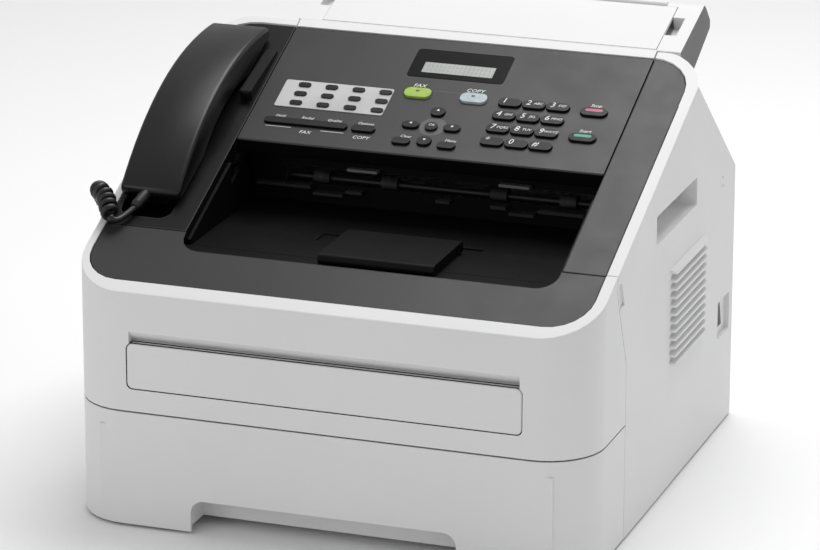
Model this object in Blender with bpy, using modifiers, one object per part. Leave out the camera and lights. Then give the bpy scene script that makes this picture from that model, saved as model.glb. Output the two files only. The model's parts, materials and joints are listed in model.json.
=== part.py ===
"""Compact laser fax machine with a corded handset, built from separate parts.

Units are metres. X points right as seen from the front, Y points to the back, Z up.
The origin is on the floor, under the middle of the body.
"""

import math

import bmesh
import bpy
import numpy as np
from mathutils import Matrix, Vector

# ---------------------------------------------------------------- overall sizes
HALF_W = 0.184
FRONT = -0.180
BACK = 0.180
CORNER = 0.040
REAR_CORNER = 0.006
SKIN = 0.0028
GAP = 0.0004
FOOT = 0.002

# sloped top deck: height over y = 0 and its tilt
DECK_Z = 0.2438
TILT = math.radians(23.16)
DECK_REAR = 0.1035
BACK_SLOPE = -0.815
BACK_SLOPE_Z = 0.3314

# seam between front cover and cassette, and between front cover and sides
SEAM_Z = 0.0828
SEAM_Y = -0.0945
SEAM_TOP_Y = -0.1171

# rim and dark bezel on the deck
RIM_LEFT = -0.1790
RIM_RIGHT = 0.1760
RIM_FRONT = -0.1685
RIM_REAR = 0.0955
PANEL_LEFT = -0.1200
PANEL_RIGHT = 0.1450
PANEL_FRONT = -0.0240
BEZEL_SINK = 0.0008
BEZEL_THICK = 0.0025

# output cavity
CAVITY_FRONT = -0.1340
TRAY_Z = 0.1840
CAVITY_BACK = 0.0020
PATH_X = 0.0203

# document feeder housing on the back of the deck
FEEDER_TILT = math.radians(18.0)
FEEDER_X = (-0.1220, 0.1615)
FLAP_X = (-0.1040, 0.1432)
FEEDER_Z = 0.2873

# handset, along the slope
HANDSET_X = (-0.1780, -0.1340)
HANDSET_S = (-0.1000, 0.0880)
CUP_X = (-0.1735, -0.1385)
CUPS = ((-0.0940, -0.0540), (0.0400, 0.0800))
COIL_D = 0.0136
WIRE_D = 0.0042

COS = math.cos(TILT)
SIN = math.sin(TILT)
TAN = math.tan(TILT)


# ---------------------------------------------------------------- scene set-up
def clear_scene():
    for old in list(bpy.data.objects):
        bpy.data.objects.remove(old, do_unlink=True)
    for group in list(bpy.data.collections):
        bpy.data.collections.remove(group)


clear_scene()
PARTS = bpy.data.collections.new("fax_machine")
CUTTERS = bpy.data.collections.new("cutters")
bpy.context.scene.collection.children.link(PARTS)
bpy.context.scene.collection.children.link(CUTTERS)

ACROSS = Matrix(((0, 0, 1, 0), (1, 0, 0, 0), (0, 1, 0, 0), (0, 0, 0, 1)))
ALONG = Matrix(((1, 0, 0, 0), (0, 0, -1, 0), (0, 1, 0, 0), (0, 0, 0, 1)))
DECK = Matrix(((1, 0, 0, 0), (0, COS, -SIN, 0), (0, SIN, COS, DECK_Z), (0, 0, 0, 1)))


def material(name, colour, rough, metal=0.0):
    made = bpy.data.materials.new(name)
    made.use_nodes = True
    shader = made.node_tree.nodes["Principled BSDF"]
    shader.inputs["Base Color"].default_value = (*colour, 1.0)
    shader.inputs["Roughness"].default_value = rough
    shader.inputs["Metallic"].default_value = metal
    made.diffuse_color = (*colour, 1.0)
    return made


WHITE = (0.72, 0.72, 0.71)
GREY = (0.56, 0.56, 0.57)
CHARCOAL = (0.045, 0.046, 0.050)
BLACK = (0.012, 0.012, 0.013)
STEEL = (0.60, 0.61, 0.63)
GREEN_BOARD = (0.03, 0.16, 0.07)


# ---------------------------------------------------------------- mesh helpers
def box_mesh(low, high):
    work = bmesh.new()
    size = [b - a for a, b in zip(low, high)]
    middle = [(a + b) / 2 for a, b in zip(low, high)]
    bmesh.ops.create_cube(work, size=1.0)
    bmesh.ops.transform(work, matrix=Matrix.Diagonal((*size, 1.0)), verts=work.verts)
    bmesh.ops.transform(work, matrix=Matrix.Translation(middle), verts=work.verts)
    mesh = bpy.data.meshes.new("box")
    work.to_mesh(mesh)
    work.free()
    return mesh


def outline_mesh(points, low, high, frame=None):
    """A flat outline drawn as a filled 2D curve and extruded from low to high."""
    curve = bpy.data.curves.new("outline", "CURVE")
    curve.dimensions = "2D"
    curve.fill_mode = "BOTH"
    curve.extrude = (high - low) / 2
    line = curve.splines.new("POLY")
    line.points.add(len(points) - 1)
    for spot, (u, v) in zip(line.points, points):
        spot.co = (u, v, 0.0, 1.0)
    line.use_cyclic_u = True
    holder = bpy.data.objects.new("outline", curve)
    CUTTERS.objects.link(holder)
    bpy.context.view_layer.update()
    graph = bpy.context.evaluated_depsgraph_get()
    mesh = bpy.data.meshes.new_from_object(holder.evaluated_get(graph))
    bpy.data.objects.remove(holder, do_unlink=True)
    work = bmesh.new()
    work.from_mesh(mesh)
    bmesh.ops.remove_doubles(work, verts=work.verts, dist=1e-6)
    bmesh.ops.dissolve_limit(
        work, angle_limit=0.002, verts=work.verts, edges=work.edges
    )
    shift = Matrix.Translation((0, 0, (low + high) / 2))
    bmesh.ops.transform(work, matrix=(frame or Matrix()) @ shift, verts=work.verts)
    bmesh.ops.recalc_face_normals(work, faces=work.faces)
    work.to_mesh(mesh)
    work.free()
    return mesh


def drum_mesh(centre, radius, length, axis, sides=20):
    """A round bar along axis 0, 1 or 2, centred on a point."""
    work = bmesh.new()
    bmesh.ops.create_cone(
        work, cap_ends=True, segments=sides, radius1=radius, radius2=radius, depth=length
    )
    turn = Matrix()
    if axis == 0:
        turn = Matrix.Rotation(math.pi / 2, 4, "Y")
    if axis == 1:
        turn = Matrix.Rotation(math.pi / 2, 4, "X")
    bmesh.ops.transform(work, matrix=Matrix.Translation(centre) @ turn, verts=work.verts)
    mesh = bpy.data.meshes.new("drum")
    work.to_mesh(mesh)
    work.free()
    return mesh


def merged(*meshes):
    """Several separate closed meshes in one, for cutting many holes at once."""
    work = bmesh.new()
    for mesh in meshes:
        work.from_mesh(mesh)
    whole = bpy.data.meshes.new("merged")
    work.to_mesh(whole)
    work.free()
    return whole


def moved(mesh, matrix):
    mesh.transform(matrix)
    return mesh


def rounded(points, radii, steps=5):
    """The corner points of an outline with an arc put in at each corner."""
    out = []
    count = len(points)
    for i, (here, radius) in enumerate(zip(points, radii)):
        at = Vector(here)
        if radius <= 0:
            out.append(tuple(at))
            continue
        before = (Vector(points[i - 1]) - at).normalized()
        after = (Vector(points[(i + 1) % count]) - at).normalized()
        half = before.angle(after) / 2
        reach = radius / math.tan(half)
        centre = at + (before + after).normalized() * (radius / math.sin(half))
        start = at + before * reach - centre
        end = at + after * reach - centre
        turn = start.angle_signed(end)
        for k in range(steps + 1):
            arm = Matrix.Rotation(-turn * k / steps, 2) @ start
            out.append(tuple(centre + arm))
    return out


def rectangle(x0, y0, x1, y1, radius=0.0, steps=4):
    corners = [(x0, y0), (x1, y0), (x1, y1), (x0, y1)]
    return rounded(corners, [radius] * 4, steps)


# ---------------------------------------------------------------- object helpers
def piece(name, mesh, colour, rough, metal=0.0):
    obj = bpy.data.objects.new(name, mesh)
    PARTS.objects.link(obj)
    mesh.materials.clear()
    mesh.materials.append(material(name, colour, rough, metal))
    return obj


def tool(mesh):
    obj = bpy.data.objects.new("tool_%03d" % len(CUTTERS.objects), mesh)
    CUTTERS.objects.link(obj)
    obj.hide_render = True
    obj.display_type = "WIRE"
    return obj


def boolean(obj, other, operation):
    step = obj.modifiers.new(operation.lower(), "BOOLEAN")
    step.operation = operation
    step.solver = "EXACT"
    step.object = other if isinstance(other, bpy.types.Object) else tool(other)


def cut(obj, *others):
    for other in others:
        boolean(obj, other, "DIFFERENCE")


def add(obj, *others):
    for other in others:
        boolean(obj, other, "UNION")


def keep(obj, *others):
    for other in others:
        boolean(obj, other, "INTERSECT")


def bevel(obj, width, segments=2, angle=35.0):
    step = obj.modifiers.new("bevel", "BEVEL")
    step.width = width
    step.segments = segments
    step.limit_method = "ANGLE"
    step.angle_limit = math.radians(angle)
    step.harden_normals = False


def pivot(obj, point):
    """Put the object's origin on its joint axis without moving its surface."""
    obj.data.transform(Matrix.Translation(-Vector(point)))
    obj.location = point


# ---------------------------------------------------------------- shape of the body
def deck_z(y, lower=0.0):
    """Height of the sloped deck at y, sunk by a distance along its normal."""
    return DECK_Z + TAN * y - lower / COS


def rear_z(y, lower=0.0):
    return BACK_SLOPE_Z + BACK_SLOPE * y - lower * math.hypot(1, BACK_SLOPE)


def deck_point(s, n):
    """World y and z of a point s along the deck and n above it."""
    return (s * COS - n * SIN, DECK_Z + s * SIN + n * COS)


def slab(points, top, bottom):
    """A plan outline raised between two depths under the deck."""
    mesh = outline_mesh(points, 0.10, 0.34)
    layer = [
        (-0.20, deck_z(-0.20, bottom)),
        (0.13, deck_z(0.13, bottom)),
        (0.13, deck_z(0.13, top)),
        (-0.20, deck_z(-0.20, top)),
    ]
    return mesh, outline_mesh(layer, -0.20, 0.20, ACROSS)


def body_solid(inset, floor):
    """The whole outside shape of the machine, shrunk by an inset."""
    front = FRONT + inset
    back = BACK - inset
    half = HALF_W - inset
    deck_end = DECK_REAR - inset
    side = [
        (front, floor),
        (back, floor),
        (back, rear_z(back, inset)),
        (deck_end, rear_z(deck_end, inset)),
        (deck_end, deck_z(deck_end, inset)),
        (front, deck_z(front, inset)),
    ]
    lip = 0.0 if inset else 0.0020
    side = rounded(side, [0.0, 0.0, 0.0, 0.0, lip, lip], 3)
    obj = tool(outline_mesh(side, -0.20, 0.20, ACROSS))
    r_front = CORNER - inset
    r_back = REAR_CORNER
    corners = [(-half, front), (half, front), (half, back), (-half, back)]
    plan = rounded(corners, [r_front, r_front, r_back, r_back], 8)
    keep(obj, outline_mesh(plan, -0.05, 0.35))
    for sign in (1, -1):
        middle = (sign * (HALF_W - CORNER), DECK_REAR - CORNER)
        above = [
            (middle[1], rear_z(middle[1], inset)),
            (deck_end, rear_z(deck_end, inset)),
            (0.12, rear_z(deck_end, inset) + 0.001),
            (0.12, 0.34),
            (middle[1], 0.34),
        ]
        span = sorted((middle[0], sign * 0.20))
        corner = tool(outline_mesh(above, span[0], span[1], ACROSS))
        cut(corner, drum_mesh((*middle, 0.25), CORNER - inset, 0.4, 2, 36))
        cut(obj, corner)
    return obj


def seam_line(shift):
    """The line where the front cover meets the sides, moved back by a shift."""
    return [
        (SEAM_Y + shift, 0.1254),
        (-0.1123 + shift, 0.1676),
        (-0.1190 + shift, 0.1850),
        (SEAM_TOP_Y + shift, 0.1905),
        (SEAM_TOP_Y + shift, 0.3400),
    ]


def rim_outline(shrink):
    """The inside line of the white rim in plan."""
    x0 = RIM_LEFT + shrink
    x1 = RIM_RIGHT - shrink
    y0 = RIM_FRONT + shrink
    y1 = RIM_REAR - shrink
    front = 0.028 - shrink
    rear = 0.032 - shrink
    return rounded([(x0, y0), (x1, y0), (x1, y1), (x0, y1)], [front, front, rear, rear], 6)


OUTSIDE = body_solid(0.0, FOOT)
INSIDE = body_solid(SKIN, -0.010)
OPENING = tool(outline_mesh(rim_outline(0.0), 0.12, 0.33))


# ---------------------------------------------------------------- front
SLOT_X = 0.1388
SLOT_Z = (0.0995, 0.1312)
COVER_AXIS = (0.0, -0.1782, 0.0854)


def build_front_cover():
    region = [(-0.20, SEAM_Z + GAP), (SEAM_Y, SEAM_Z + GAP)] + seam_line(0.0) + [(-0.20, 0.34)]
    cover = piece(
        "front_cover", outline_mesh(region, -0.20, 0.20, ACROSS), WHITE, 0.45
    )
    keep(cover, OUTSIDE)
    cut(cover, INSIDE, OPENING)
    add(cover, box_mesh((-0.1460, -0.1785, 0.0900), (0.1460, -0.1660, 0.1455)))
    pocket = rectangle(
        -SLOT_X - GAP, SLOT_Z[0] - GAP, SLOT_X + GAP, SLOT_Z[1] + GAP, 0.004
    )
    cut(cover, outline_mesh(pocket, 0.1755, 0.1900, ALONG))
    mouth = rectangle(-0.1120, 0.1080, 0.1120, 0.1250, 0.002)
    cut(cover, outline_mesh(mouth, 0.1600, 0.1780, ALONG))
    scoop = [(-0.19, 0.1314), (-0.1725, 0.1314), (-0.1806, 0.1405), (-0.19, 0.1405)]
    cut(cover, outline_mesh(scoop, -0.1372, 0.1372, ACROSS))
    pivot(cover, COVER_AXIS)


def build_front_bezel():
    mesh, layer = slab(rim_outline(0.0003), BEZEL_SINK, BEZEL_SINK + BEZEL_THICK)
    bezel = piece("front_bezel", mesh, CHARCOAL, 0.38)
    keep(bezel, layer, box_mesh((-0.20, -0.20, 0.10), (0.20, SEAM_TOP_Y, 0.34)))
    hole = rounded(
        [
            (PANEL_LEFT, CAVITY_FRONT),
            (PANEL_RIGHT, CAVITY_FRONT),
            (PANEL_RIGHT, -0.10),
            (PANEL_LEFT, -0.10),
        ],
        [0.014, 0.014, 0, 0],
    )
    cut(bezel, outline_mesh(hole, 0.12, 0.33))
    add(
        bezel,
        box_mesh((-0.1240, -0.1365, 0.1800), (0.1490, SEAM_TOP_Y, TRAY_Z)),
    )
    pivot(bezel, COVER_AXIS)


def build_manual_slot_cover():
    face = rectangle(-SLOT_X, SLOT_Z[0], SLOT_X, SLOT_Z[1], 0.004)
    lid = piece(
        "manual_slot_cover", outline_mesh(face, 0.1765, 0.1800, ALONG), WHITE, 0.45
    )
    bevel(lid, 0.0006, 1, 50)
    pivot(lid, (0.0, -0.1795, SLOT_Z[0] + 0.0006))


# ---------------------------------------------------------------- paper cassette
TRAY_HALF = 0.160


def build_cassette():
    region = [(-0.20, 0.0), (SEAM_Y, 0.0), (SEAM_Y, SEAM_Z - GAP), (-0.20, SEAM_Z - GAP)]
    tray = piece("paper_cassette", outline_mesh(region, -0.20, 0.20, ACROSS), WHITE, 0.45)
    keep(tray, OUTSIDE)
    cut(tray, INSIDE)
    add(tray, box_mesh((-TRAY_HALF, -0.1785, 0.0060), (TRAY_HALF, 0.1500, 0.0720)))
    cut(tray, box_mesh((-0.1570, -0.1480, 0.0085), (0.1570, 0.1475, 0.0900)))
    grip = rounded(
        [(-0.0940, -0.010), (0.0940, -0.010), (0.0940, 0.0246), (-0.0940, 0.0246)],
        [0, 0, 0.009, 0.009],
    )
    cut(tray, outline_mesh(grip, 0.1568, 0.1900, ALONG))
    pivot(tray, (0.0, FRONT, 0.040))


def build_lift_plate():
    plate = rounded(
        [(-0.1120, -0.1380), (0.1120, -0.1380), (0.1120, 0.1360), (-0.1120, 0.1360)],
        [0.004] * 4,
        3,
    )
    lift = piece("lift_plate", outline_mesh(plate, 0.0100, 0.0114), STEEL, 0.35, 0.9)
    pad = rectangle(-0.015, -0.1340, 0.015, -0.1080, 0.002)
    add(lift, outline_mesh(pad, 0.0110, 0.0124))
    notches = merged(
        box_mesh((-0.1200, -0.0400, 0.005), (-0.0980, 0.0300, 0.020)),
        box_mesh((0.0980, -0.0400, 0.005), (0.1200, 0.0300, 0.020)),
    )
    cut(lift, notches)
    pivot(lift, (0.0, 0.1360, 0.0107))


# ---------------------------------------------------------------- sides and back
GRIP_Y = (-0.0270, 0.0730)
GRIP_Z = (0.1880, 0.2085)


def side_region(sign):
    low, high = sorted((sign * 0.1763, sign * 0.20))
    floor = -0.01
    edge = [(SEAM_Y + GAP, floor)] + seam_line(GAP) + [(0.19, 0.34), (0.19, floor)]
    return outline_mesh(edge, low, high, ACROSS)


def build_side(name, sign):
    side = piece(name, side_region(sign), WHITE, 0.45)
    if sign > 0:
        corner = box_mesh((PANEL_RIGHT + 0.0009, 0.0490, 0.2300), (0.1770, 0.1038, 0.34))
    else:
        corner = box_mesh((-0.1770, 0.0500, 0.2300), (PANEL_LEFT - 0.0004, 0.1038, 0.34))
    add(side, corner)
    keep(side, OUTSIDE)
    cut(side, INSIDE, OPENING)
    inner = sorted((sign * 0.1640, sign * 0.1822))
    pad = [
        (GRIP_Y[0] - 0.003, GRIP_Z[0] - 0.003),
        (GRIP_Y[1] + 0.003, GRIP_Z[0] - 0.003),
        (GRIP_Y[1] + 0.003, GRIP_Z[1] + 0.003),
        (GRIP_Y[0] - 0.003, GRIP_Z[1] + 0.003),
    ]
    add(side, outline_mesh(pad, inner[0], inner[1], ACROSS))
    pocket = rounded(
        [
            (GRIP_Y[0], GRIP_Z[0]),
            (GRIP_Y[1], GRIP_Z[0]),
            (GRIP_Y[1], GRIP_Z[1]),
            (GRIP_Y[0], GRIP_Z[1]),
        ],
        [0.002, 0.002, 0.002, 0.002],
        3,
    )
    deep = sorted((sign * 0.1668, sign * 0.1900))
    cut(side, outline_mesh(pocket, deep[0], deep[1], ACROSS))
    thin = sorted((sign * 0.1826, sign * 0.1900))
    notch = [(-0.1160, 0.1850), (-0.1086, 0.1866), (-0.1012, 0.1700), (-0.1110, 0.1676)]
    cut(side, outline_mesh(notch, thin[0], thin[1], ACROSS))
    slots = []
    for k in range(11):
        z = 0.0920 + 0.0060 * k
        through = sorted((sign * 0.1780, sign * 0.1900))
        slots.append(
            box_mesh((through[0], 0.0120, z), (through[1], 0.0930, z + 0.0026))
        )
    cut(side, merged(*slots))
    if sign > 0:
        well = rectangle(0.1355, 0.0690, 0.1660, 0.0970, 0.002, 3)
        frame = rectangle(0.1330, 0.0665, 0.1685, 0.0995, 0.002, 3)
        add(side, outline_mesh(frame, 0.1730, 0.1822, ACROSS))
        cut(side, outline_mesh(well, 0.1806, 0.1900, ACROSS))
        hole = rectangle(0.1376, 0.0762, 0.1494, 0.0958, 0.001, 2)
        cut(side, outline_mesh(hole, 0.1700, 0.1900, ACROSS))
    else:
        jacks = rectangle(0.0560, 0.0470, 0.1130, 0.0690, 0.001, 2)
        cut(side, outline_mesh(jacks, -0.1900, -0.1780, ACROSS))


def build_rear_panel():
    region = [(0.1045, -0.01), (0.19, -0.01), (0.19, 0.34), (0.1045, 0.34)]
    rear = piece(
        "rear_panel", outline_mesh(region, -0.1759, 0.1759, ACROSS), WHITE, 0.5
    )
    keep(rear, OUTSIDE)
    cut(rear, INSIDE)
    door = rectangle(-0.1254, 0.0546, 0.1254, 0.1654, 0.004)
    cut(rear, outline_mesh(door, -0.1900, -0.1700, ALONG))
    add(rear, box_mesh((0.1425, 0.1600, 0.0235), (0.1735, 0.1780, 0.0475)))
    inlet = rectangle(0.1460, 0.0265, 0.1700, 0.0445, 0.003, 3)
    cut(rear, outline_mesh(inlet, -0.1900, -0.1640, ALONG))
    pins = merged(
        box_mesh((0.1525, 0.1630, 0.0345), (0.1540, 0.1740, 0.0385)),
        box_mesh((0.1620, 0.1630, 0.0345), (0.1635, 0.1740, 0.0385)),
    )
    add(rear, pins)


def build_rear_cover():
    face = rectangle(-0.1250, 0.0550, 0.1250, 0.1650, 0.004)
    cover = piece(
        "rear_cover", outline_mesh(face, -0.1796, -0.1768, ALONG), WHITE, 0.5
    )
    ribs = merged(
        box_mesh((-0.100, 0.1705, 0.0620), (-0.0975, 0.1775, 0.1500)),
        box_mesh((0.0975, 0.1705, 0.0620), (0.100, 0.1775, 0.1500)),
        box_mesh((-0.0340, 0.1705, 0.0620), (-0.0315, 0.1775, 0.1500)),
        box_mesh((0.0315, 0.1705, 0.0620), (0.0340, 0.1775, 0.1500)),
    )
    add(cover, ribs)
    pivot(cover, (0.0, 0.1790, 0.0560))


def build_power_switch():
    face = [
        (0.1788, 0.0776),
        (0.1830, 0.0776),
        (0.1816, 0.0860),
        (0.1802, 0.0944),
        (0.1788, 0.0944),
    ]
    switch = piece(
        "power_switch", outline_mesh(face, -0.1490, -0.1380, ALONG), BLACK, 0.35
    )
    pivot(switch, (0.1795, 0.1435, 0.0860))


# ---------------------------------------------------------------- inside
def build_base():
    base = piece(
        "base_pan",
        box_mesh((-0.1760, -0.0900, FOOT), (0.1760, 0.1768, FOOT + 0.0025)),
        GREY,
        0.5,
    )
    walls = merged(
        box_mesh((-0.1690, -0.0900, 0.0030), (-0.1665, 0.1600, 0.1500)),
        box_mesh((0.1665, -0.0900, 0.0030), (0.1690, 0.1600, 0.1500)),
    )
    add(base, walls)
    add(base, box_mesh((-0.1680, 0.1300, 0.0760), (0.1680, 0.1325, 0.0900)))
    add(base, box_mesh((-0.1680, 0.0500, 0.0760), (0.1680, 0.1320, 0.0785)))
    feet = merged(
        *[
            drum_mesh((x, y, 0.0015), 0.009, 0.003, 2, 16)
            for x in (-0.150, 0.150)
            for y in (-0.075, 0.155)
        ]
    )
    add(base, feet)


def build_output_tray():
    floor = box_mesh((-0.1170, SEAM_TOP_Y + 0.0006, 0.1815), (0.1420, 0.0300, TRAY_Z))
    tray = piece("output_tray", floor, CHARCOAL, 0.5)
    hollow = merged(
        box_mesh((-0.0410, -0.0790, 0.1828), (-0.0120, -0.0620, 0.1900)),
        box_mesh((0.0526, -0.0790, 0.1828), (0.0735, -0.0620, 0.1900)),
    )
    cut(tray, hollow)


def build_exit_frame():
    wall = [
        (SEAM_TOP_Y + 0.0006, 0.1815),
        (0.0300, 0.1815),
        (0.0300, deck_z(0.0300, 0.0200)),
        (-0.0400, deck_z(-0.0400, 0.0200)),
        (-0.0400, deck_z(-0.0400, 0.0060)),
        (SEAM_TOP_Y + 0.0006, deck_z(SEAM_TOP_Y + 0.0006, 0.0060)),
    ]
    frame = piece("exit_frame", outline_mesh(wall, -0.1200, -0.1175, ACROSS), CHARCOAL, 0.5)
    add(frame, box_mesh((-0.1190, CAVITY_BACK, TRAY_Z + GAP), (0.1440, 0.0045, 0.2205)))
    add(frame, outline_mesh(wall, 0.1425, 0.1450, ACROSS))
    slot = rectangle(-0.0950, 0.1985, 0.1356, 0.2100, 0.001, 2)
    cut(frame, outline_mesh(slot, -0.0100, 0.0100, ALONG))
    lip = merged(
        box_mesh((-0.1130, -0.0050, 0.1960), (-0.0730, 0.0030, 0.1980)),
        box_mesh((-0.0710, -0.0050, 0.1920), (-0.0490, 0.0030, 0.1940)),
        box_mesh((-0.0470, -0.0050, 0.1950), (-0.0350, 0.0030, 0.1970)),
        box_mesh((0.0190, -0.0050, 0.1950), (0.0290, 0.0030, 0.1970)),
        box_mesh((0.0590, -0.0050, 0.1950), (0.0700, 0.0030, 0.1970)),
        box_mesh((0.0720, -0.0050, 0.1915), (0.0900, 0.0030, 0.1935)),
        box_mesh((0.0930, -0.0050, 0.1950), (0.1260, 0.0030, 0.1970)),
        box_mesh((-0.0460, -0.0040, 0.2110), (-0.0240, 0.0030, 0.2130)),
        box_mesh((0.0645, -0.0040, 0.2110), (0.0865, 0.0030, 0.2130)),
    )
    add(frame, lip)


def build_tray_flap():
    side = rounded(
        [
            (-0.1312, 0.1843),
            (-0.0700, 0.1843),
            (-0.0700, 0.1916),
            (-0.1312, 0.1916),
        ],
        [0.0034, 0.0005, 0.0012, 0.0034],
        4,
    )
    flap = piece(
        "tray_flap", outline_mesh(side, -0.0206, 0.0612, ACROSS), CHARCOAL, 0.42
    )
    pivot(flap, (PATH_X, -0.1275, 0.18800))


def build_exit_roller():
    shaft = drum_mesh((PATH_X, 0.0150, 0.1990), 0.0030, 0.2300, 0, 16)
    roller = piece("exit_roller", shaft, BLACK, 0.6)
    tyres = merged(
        *[
            drum_mesh((x, 0.0150, 0.1990), 0.0060, 0.0120, 0, 20)
            for x in (-0.070, -0.020, 0.060, 0.110)
        ]
    )
    add(roller, tyres)
    pivot(roller, (PATH_X, 0.0150, 0.1990))


def build_laser_unit():
    case = box_mesh((-0.1150, -0.0650, 0.1560), (0.1150, 0.0450, 0.1770))
    unit = piece("laser_unit", case, STEEL, 0.4, 0.6)
    add(unit, drum_mesh((0.030, 0.000, 0.1785), 0.022, 0.004, 2, 24))
    bevel(unit, 0.001, 1, 60)


def build_toner():
    side = rounded(
        [
            (-0.1300, 0.0960),
            (0.0300, 0.0960),
            (0.0300, 0.1260),
            (-0.0200, 0.1500),
            (-0.1300, 0.1500),
        ],
        [0.008, 0.008, 0.006, 0.006, 0.008],
        4,
    )
    toner = piece(
        "toner_cartridge", outline_mesh(side, -0.1450, 0.1450, ACROSS), BLACK, 0.45
    )
    handle = rectangle(-0.0500, 0.1080, 0.0500, 0.1380, 0.006, 4)
    cut(toner, outline_mesh(handle, 0.1180, 0.1400, ALONG))
    bar = drum_mesh((0.0, -0.1240, 0.1300), 0.0035, 0.1080, 0, 12)
    add(toner, bar)
    pivot(toner, (0.0, -0.1300, 0.1230))


def build_fuser():
    case = box_mesh((-0.1400, 0.0700, 0.0950), (0.1400, 0.1250, 0.1450))
    shell = piece("fuser_unit", case, GREY, 0.5)
    cut(shell, box_mesh((-0.1200, 0.0900, 0.1100), (0.1200, 0.1300, 0.1350)))
    add(shell, drum_mesh((0.0, 0.1080, 0.1225), 0.0110, 0.2500, 0, 24))


def build_board():
    card = box_mesh((-0.1655, -0.0500, 0.0830), (-0.1640, 0.1100, 0.1800))
    board = piece("main_board", card, GREEN_BOARD, 0.5)
    chips = merged(
        box_mesh((-0.1642, -0.0200, 0.1100), (-0.1615, 0.0100, 0.1400)),
        box_mesh((-0.1642, 0.0300, 0.1200), (-0.1620, 0.0500, 0.1350)),
        box_mesh((-0.1642, 0.0700, 0.1000), (-0.1560, 0.0950, 0.1200)),
        box_mesh((-0.1642, -0.0400, 0.1550), (-0.1580, 0.0200, 0.1650)),
    )
    add(board, chips)


def build_jack_block():
    case = box_mesh((-0.1820, 0.0564, 0.0474), (-0.1700, 0.1126, 0.0686))
    block = piece("jack_block", case, BLACK, 0.5)
    ports = merged(
        box_mesh((-0.1900, 0.0600, 0.0520), (-0.1740, 0.0710, 0.0640)),
        box_mesh((-0.1900, 0.0790, 0.0510), (-0.1740, 0.0910, 0.0650)),
        box_mesh((-0.1900, 0.0970, 0.0510), (-0.1740, 0.1090, 0.0650)),
    )
    cut(block, ports)


def build_cis():
    side = rectangle(0.0360, -0.0360, 0.0900, -0.0160)
    case = outline_mesh(side, -0.1150, 0.1400, DECK @ ACROSS)
    unit = piece("document_scanner", case, CHARCOAL, 0.45)
    window = moved(box_mesh((-0.0900, 0.0460, -0.0172), (0.1290, 0.0620, -0.0100)), DECK)
    trough = moved(box_mesh((-0.0900, 0.0705, -0.0330), (0.1290, 0.0855, -0.0100)), DECK)
    cut(unit, merged(window, trough))


def build_feed_roller():
    axis = DECK @ Vector((PATH_X, 0.0780, -0.0225))
    shaft = drum_mesh(axis, 0.0025, 0.2140, 0, 12)
    roller = piece("feed_roller", shaft, BLACK, 0.7)
    tyres = merged(
        *[
            drum_mesh((axis.x + x, axis.y, axis.z), 0.0058, 0.0220, 0, 20)
            for x in (-0.060, 0.0, 0.060)
        ]
    )
    add(roller, tyres)
    pivot(roller, axis)


# ---------------------------------------------------------------- dark side bezels
WELLS = ((-0.1170, -0.0510), (0.0370, 0.0830))


def build_bezels():
    y0 = SEAM_TOP_Y + GAP
    mesh, layer = slab(rim_outline(0.0003), BEZEL_SINK, BEZEL_SINK + BEZEL_THICK)
    right = piece("bezel_right", mesh, CHARCOAL, 0.38)
    keep(right, layer, box_mesh((PANEL_RIGHT + 0.0005, y0, 0.10), (0.20, 0.20, 0.34)))
    flange = [
        (y0, deck_z(y0, 0.0130)),
        (-0.0250, deck_z(-0.0250, 0.0130)),
        (-0.0250, deck_z(-0.0250, 0.0015)),
        (y0, deck_z(y0, 0.0015)),
    ]
    add(right, outline_mesh(flange, PANEL_RIGHT + 0.0005, PANEL_RIGHT + 0.0027, ACROSS))

    mesh, layer = slab(rim_outline(0.0003), BEZEL_SINK, BEZEL_SINK + BEZEL_THICK)
    left = piece("bezel_left", mesh, CHARCOAL, 0.38)
    keep(left, layer, box_mesh((-0.20, y0, 0.10), (PANEL_LEFT - 0.0005, 0.20, 0.34)))
    add(left, outline_mesh(flange, PANEL_LEFT - 0.0027, PANEL_LEFT - 0.0005, ACROSS))
    for s0, s1 in WELLS:
        wide = rectangle(CUP_X[0] - 0.0028, s0 - 0.0018, CUP_X[1] + 0.0028, s1 + 0.0018, 0.010, 5)
        add(left, outline_mesh(wide, -0.0130, -0.0020, DECK))
    for s0, s1 in WELLS:
        well = rectangle(CUP_X[0] - 0.0010, s0, CUP_X[1] + 0.0010, s1, 0.009, 5)
        cut(left, outline_mesh(well, -0.0112, 0.0100, DECK))
    boss_side = rounded(
        [(0.0150, -0.0020), (0.0300, -0.0020), (0.0300, 0.0060), (0.0150, 0.0060)],
        [0, 0, 0.004, 0.004],
        4,
    )
    add(left, outline_mesh(boss_side, -0.1318, -0.1250, DECK @ ACROSS))


def build_hook_switch():
    side = rounded(
        [(0.0020, -0.0060), (0.0120, -0.0060), (0.0120, 0.0074), (0.0020, 0.0074)],
        [0, 0, 0.003, 0.003],
        4,
    )
    hook = piece(
        "hook_switch", outline_mesh(side, -0.1600, -0.1520, DECK @ ACROSS), BLACK, 0.4
    )
    pivot(hook, DECK @ Vector((-0.1560, 0.0070, 0.0)))


def build_hook_hole():
    left = bpy.data.objects["bezel_left"]
    cut(left, moved(box_mesh((-0.1604, 0.0016, -0.0100), (-0.1516, 0.0124, 0.0100)), DECK))


# ---------------------------------------------------------------- control panel
PANEL_S = ((PANEL_FRONT + 0.0003) / COS, 0.1030)
KEY_TOP = 0.0010
PANEL_AXIS_S = (PANEL_S[0] + 0.0020, -0.0125)

DIGITS = ["1", "2", "3", "4", "5", "6", "7", "8", "9", "star", "0", "hash"]
ROW_Y = (0.0364, 0.0230, 0.0098, -0.0034)
COLUMN_X = (0.0591, 0.0765, 0.0939)


def pill(width, height, radius):
    return rectangle(-width / 2, -height / 2, width / 2, height / 2, radius, 4)


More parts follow.
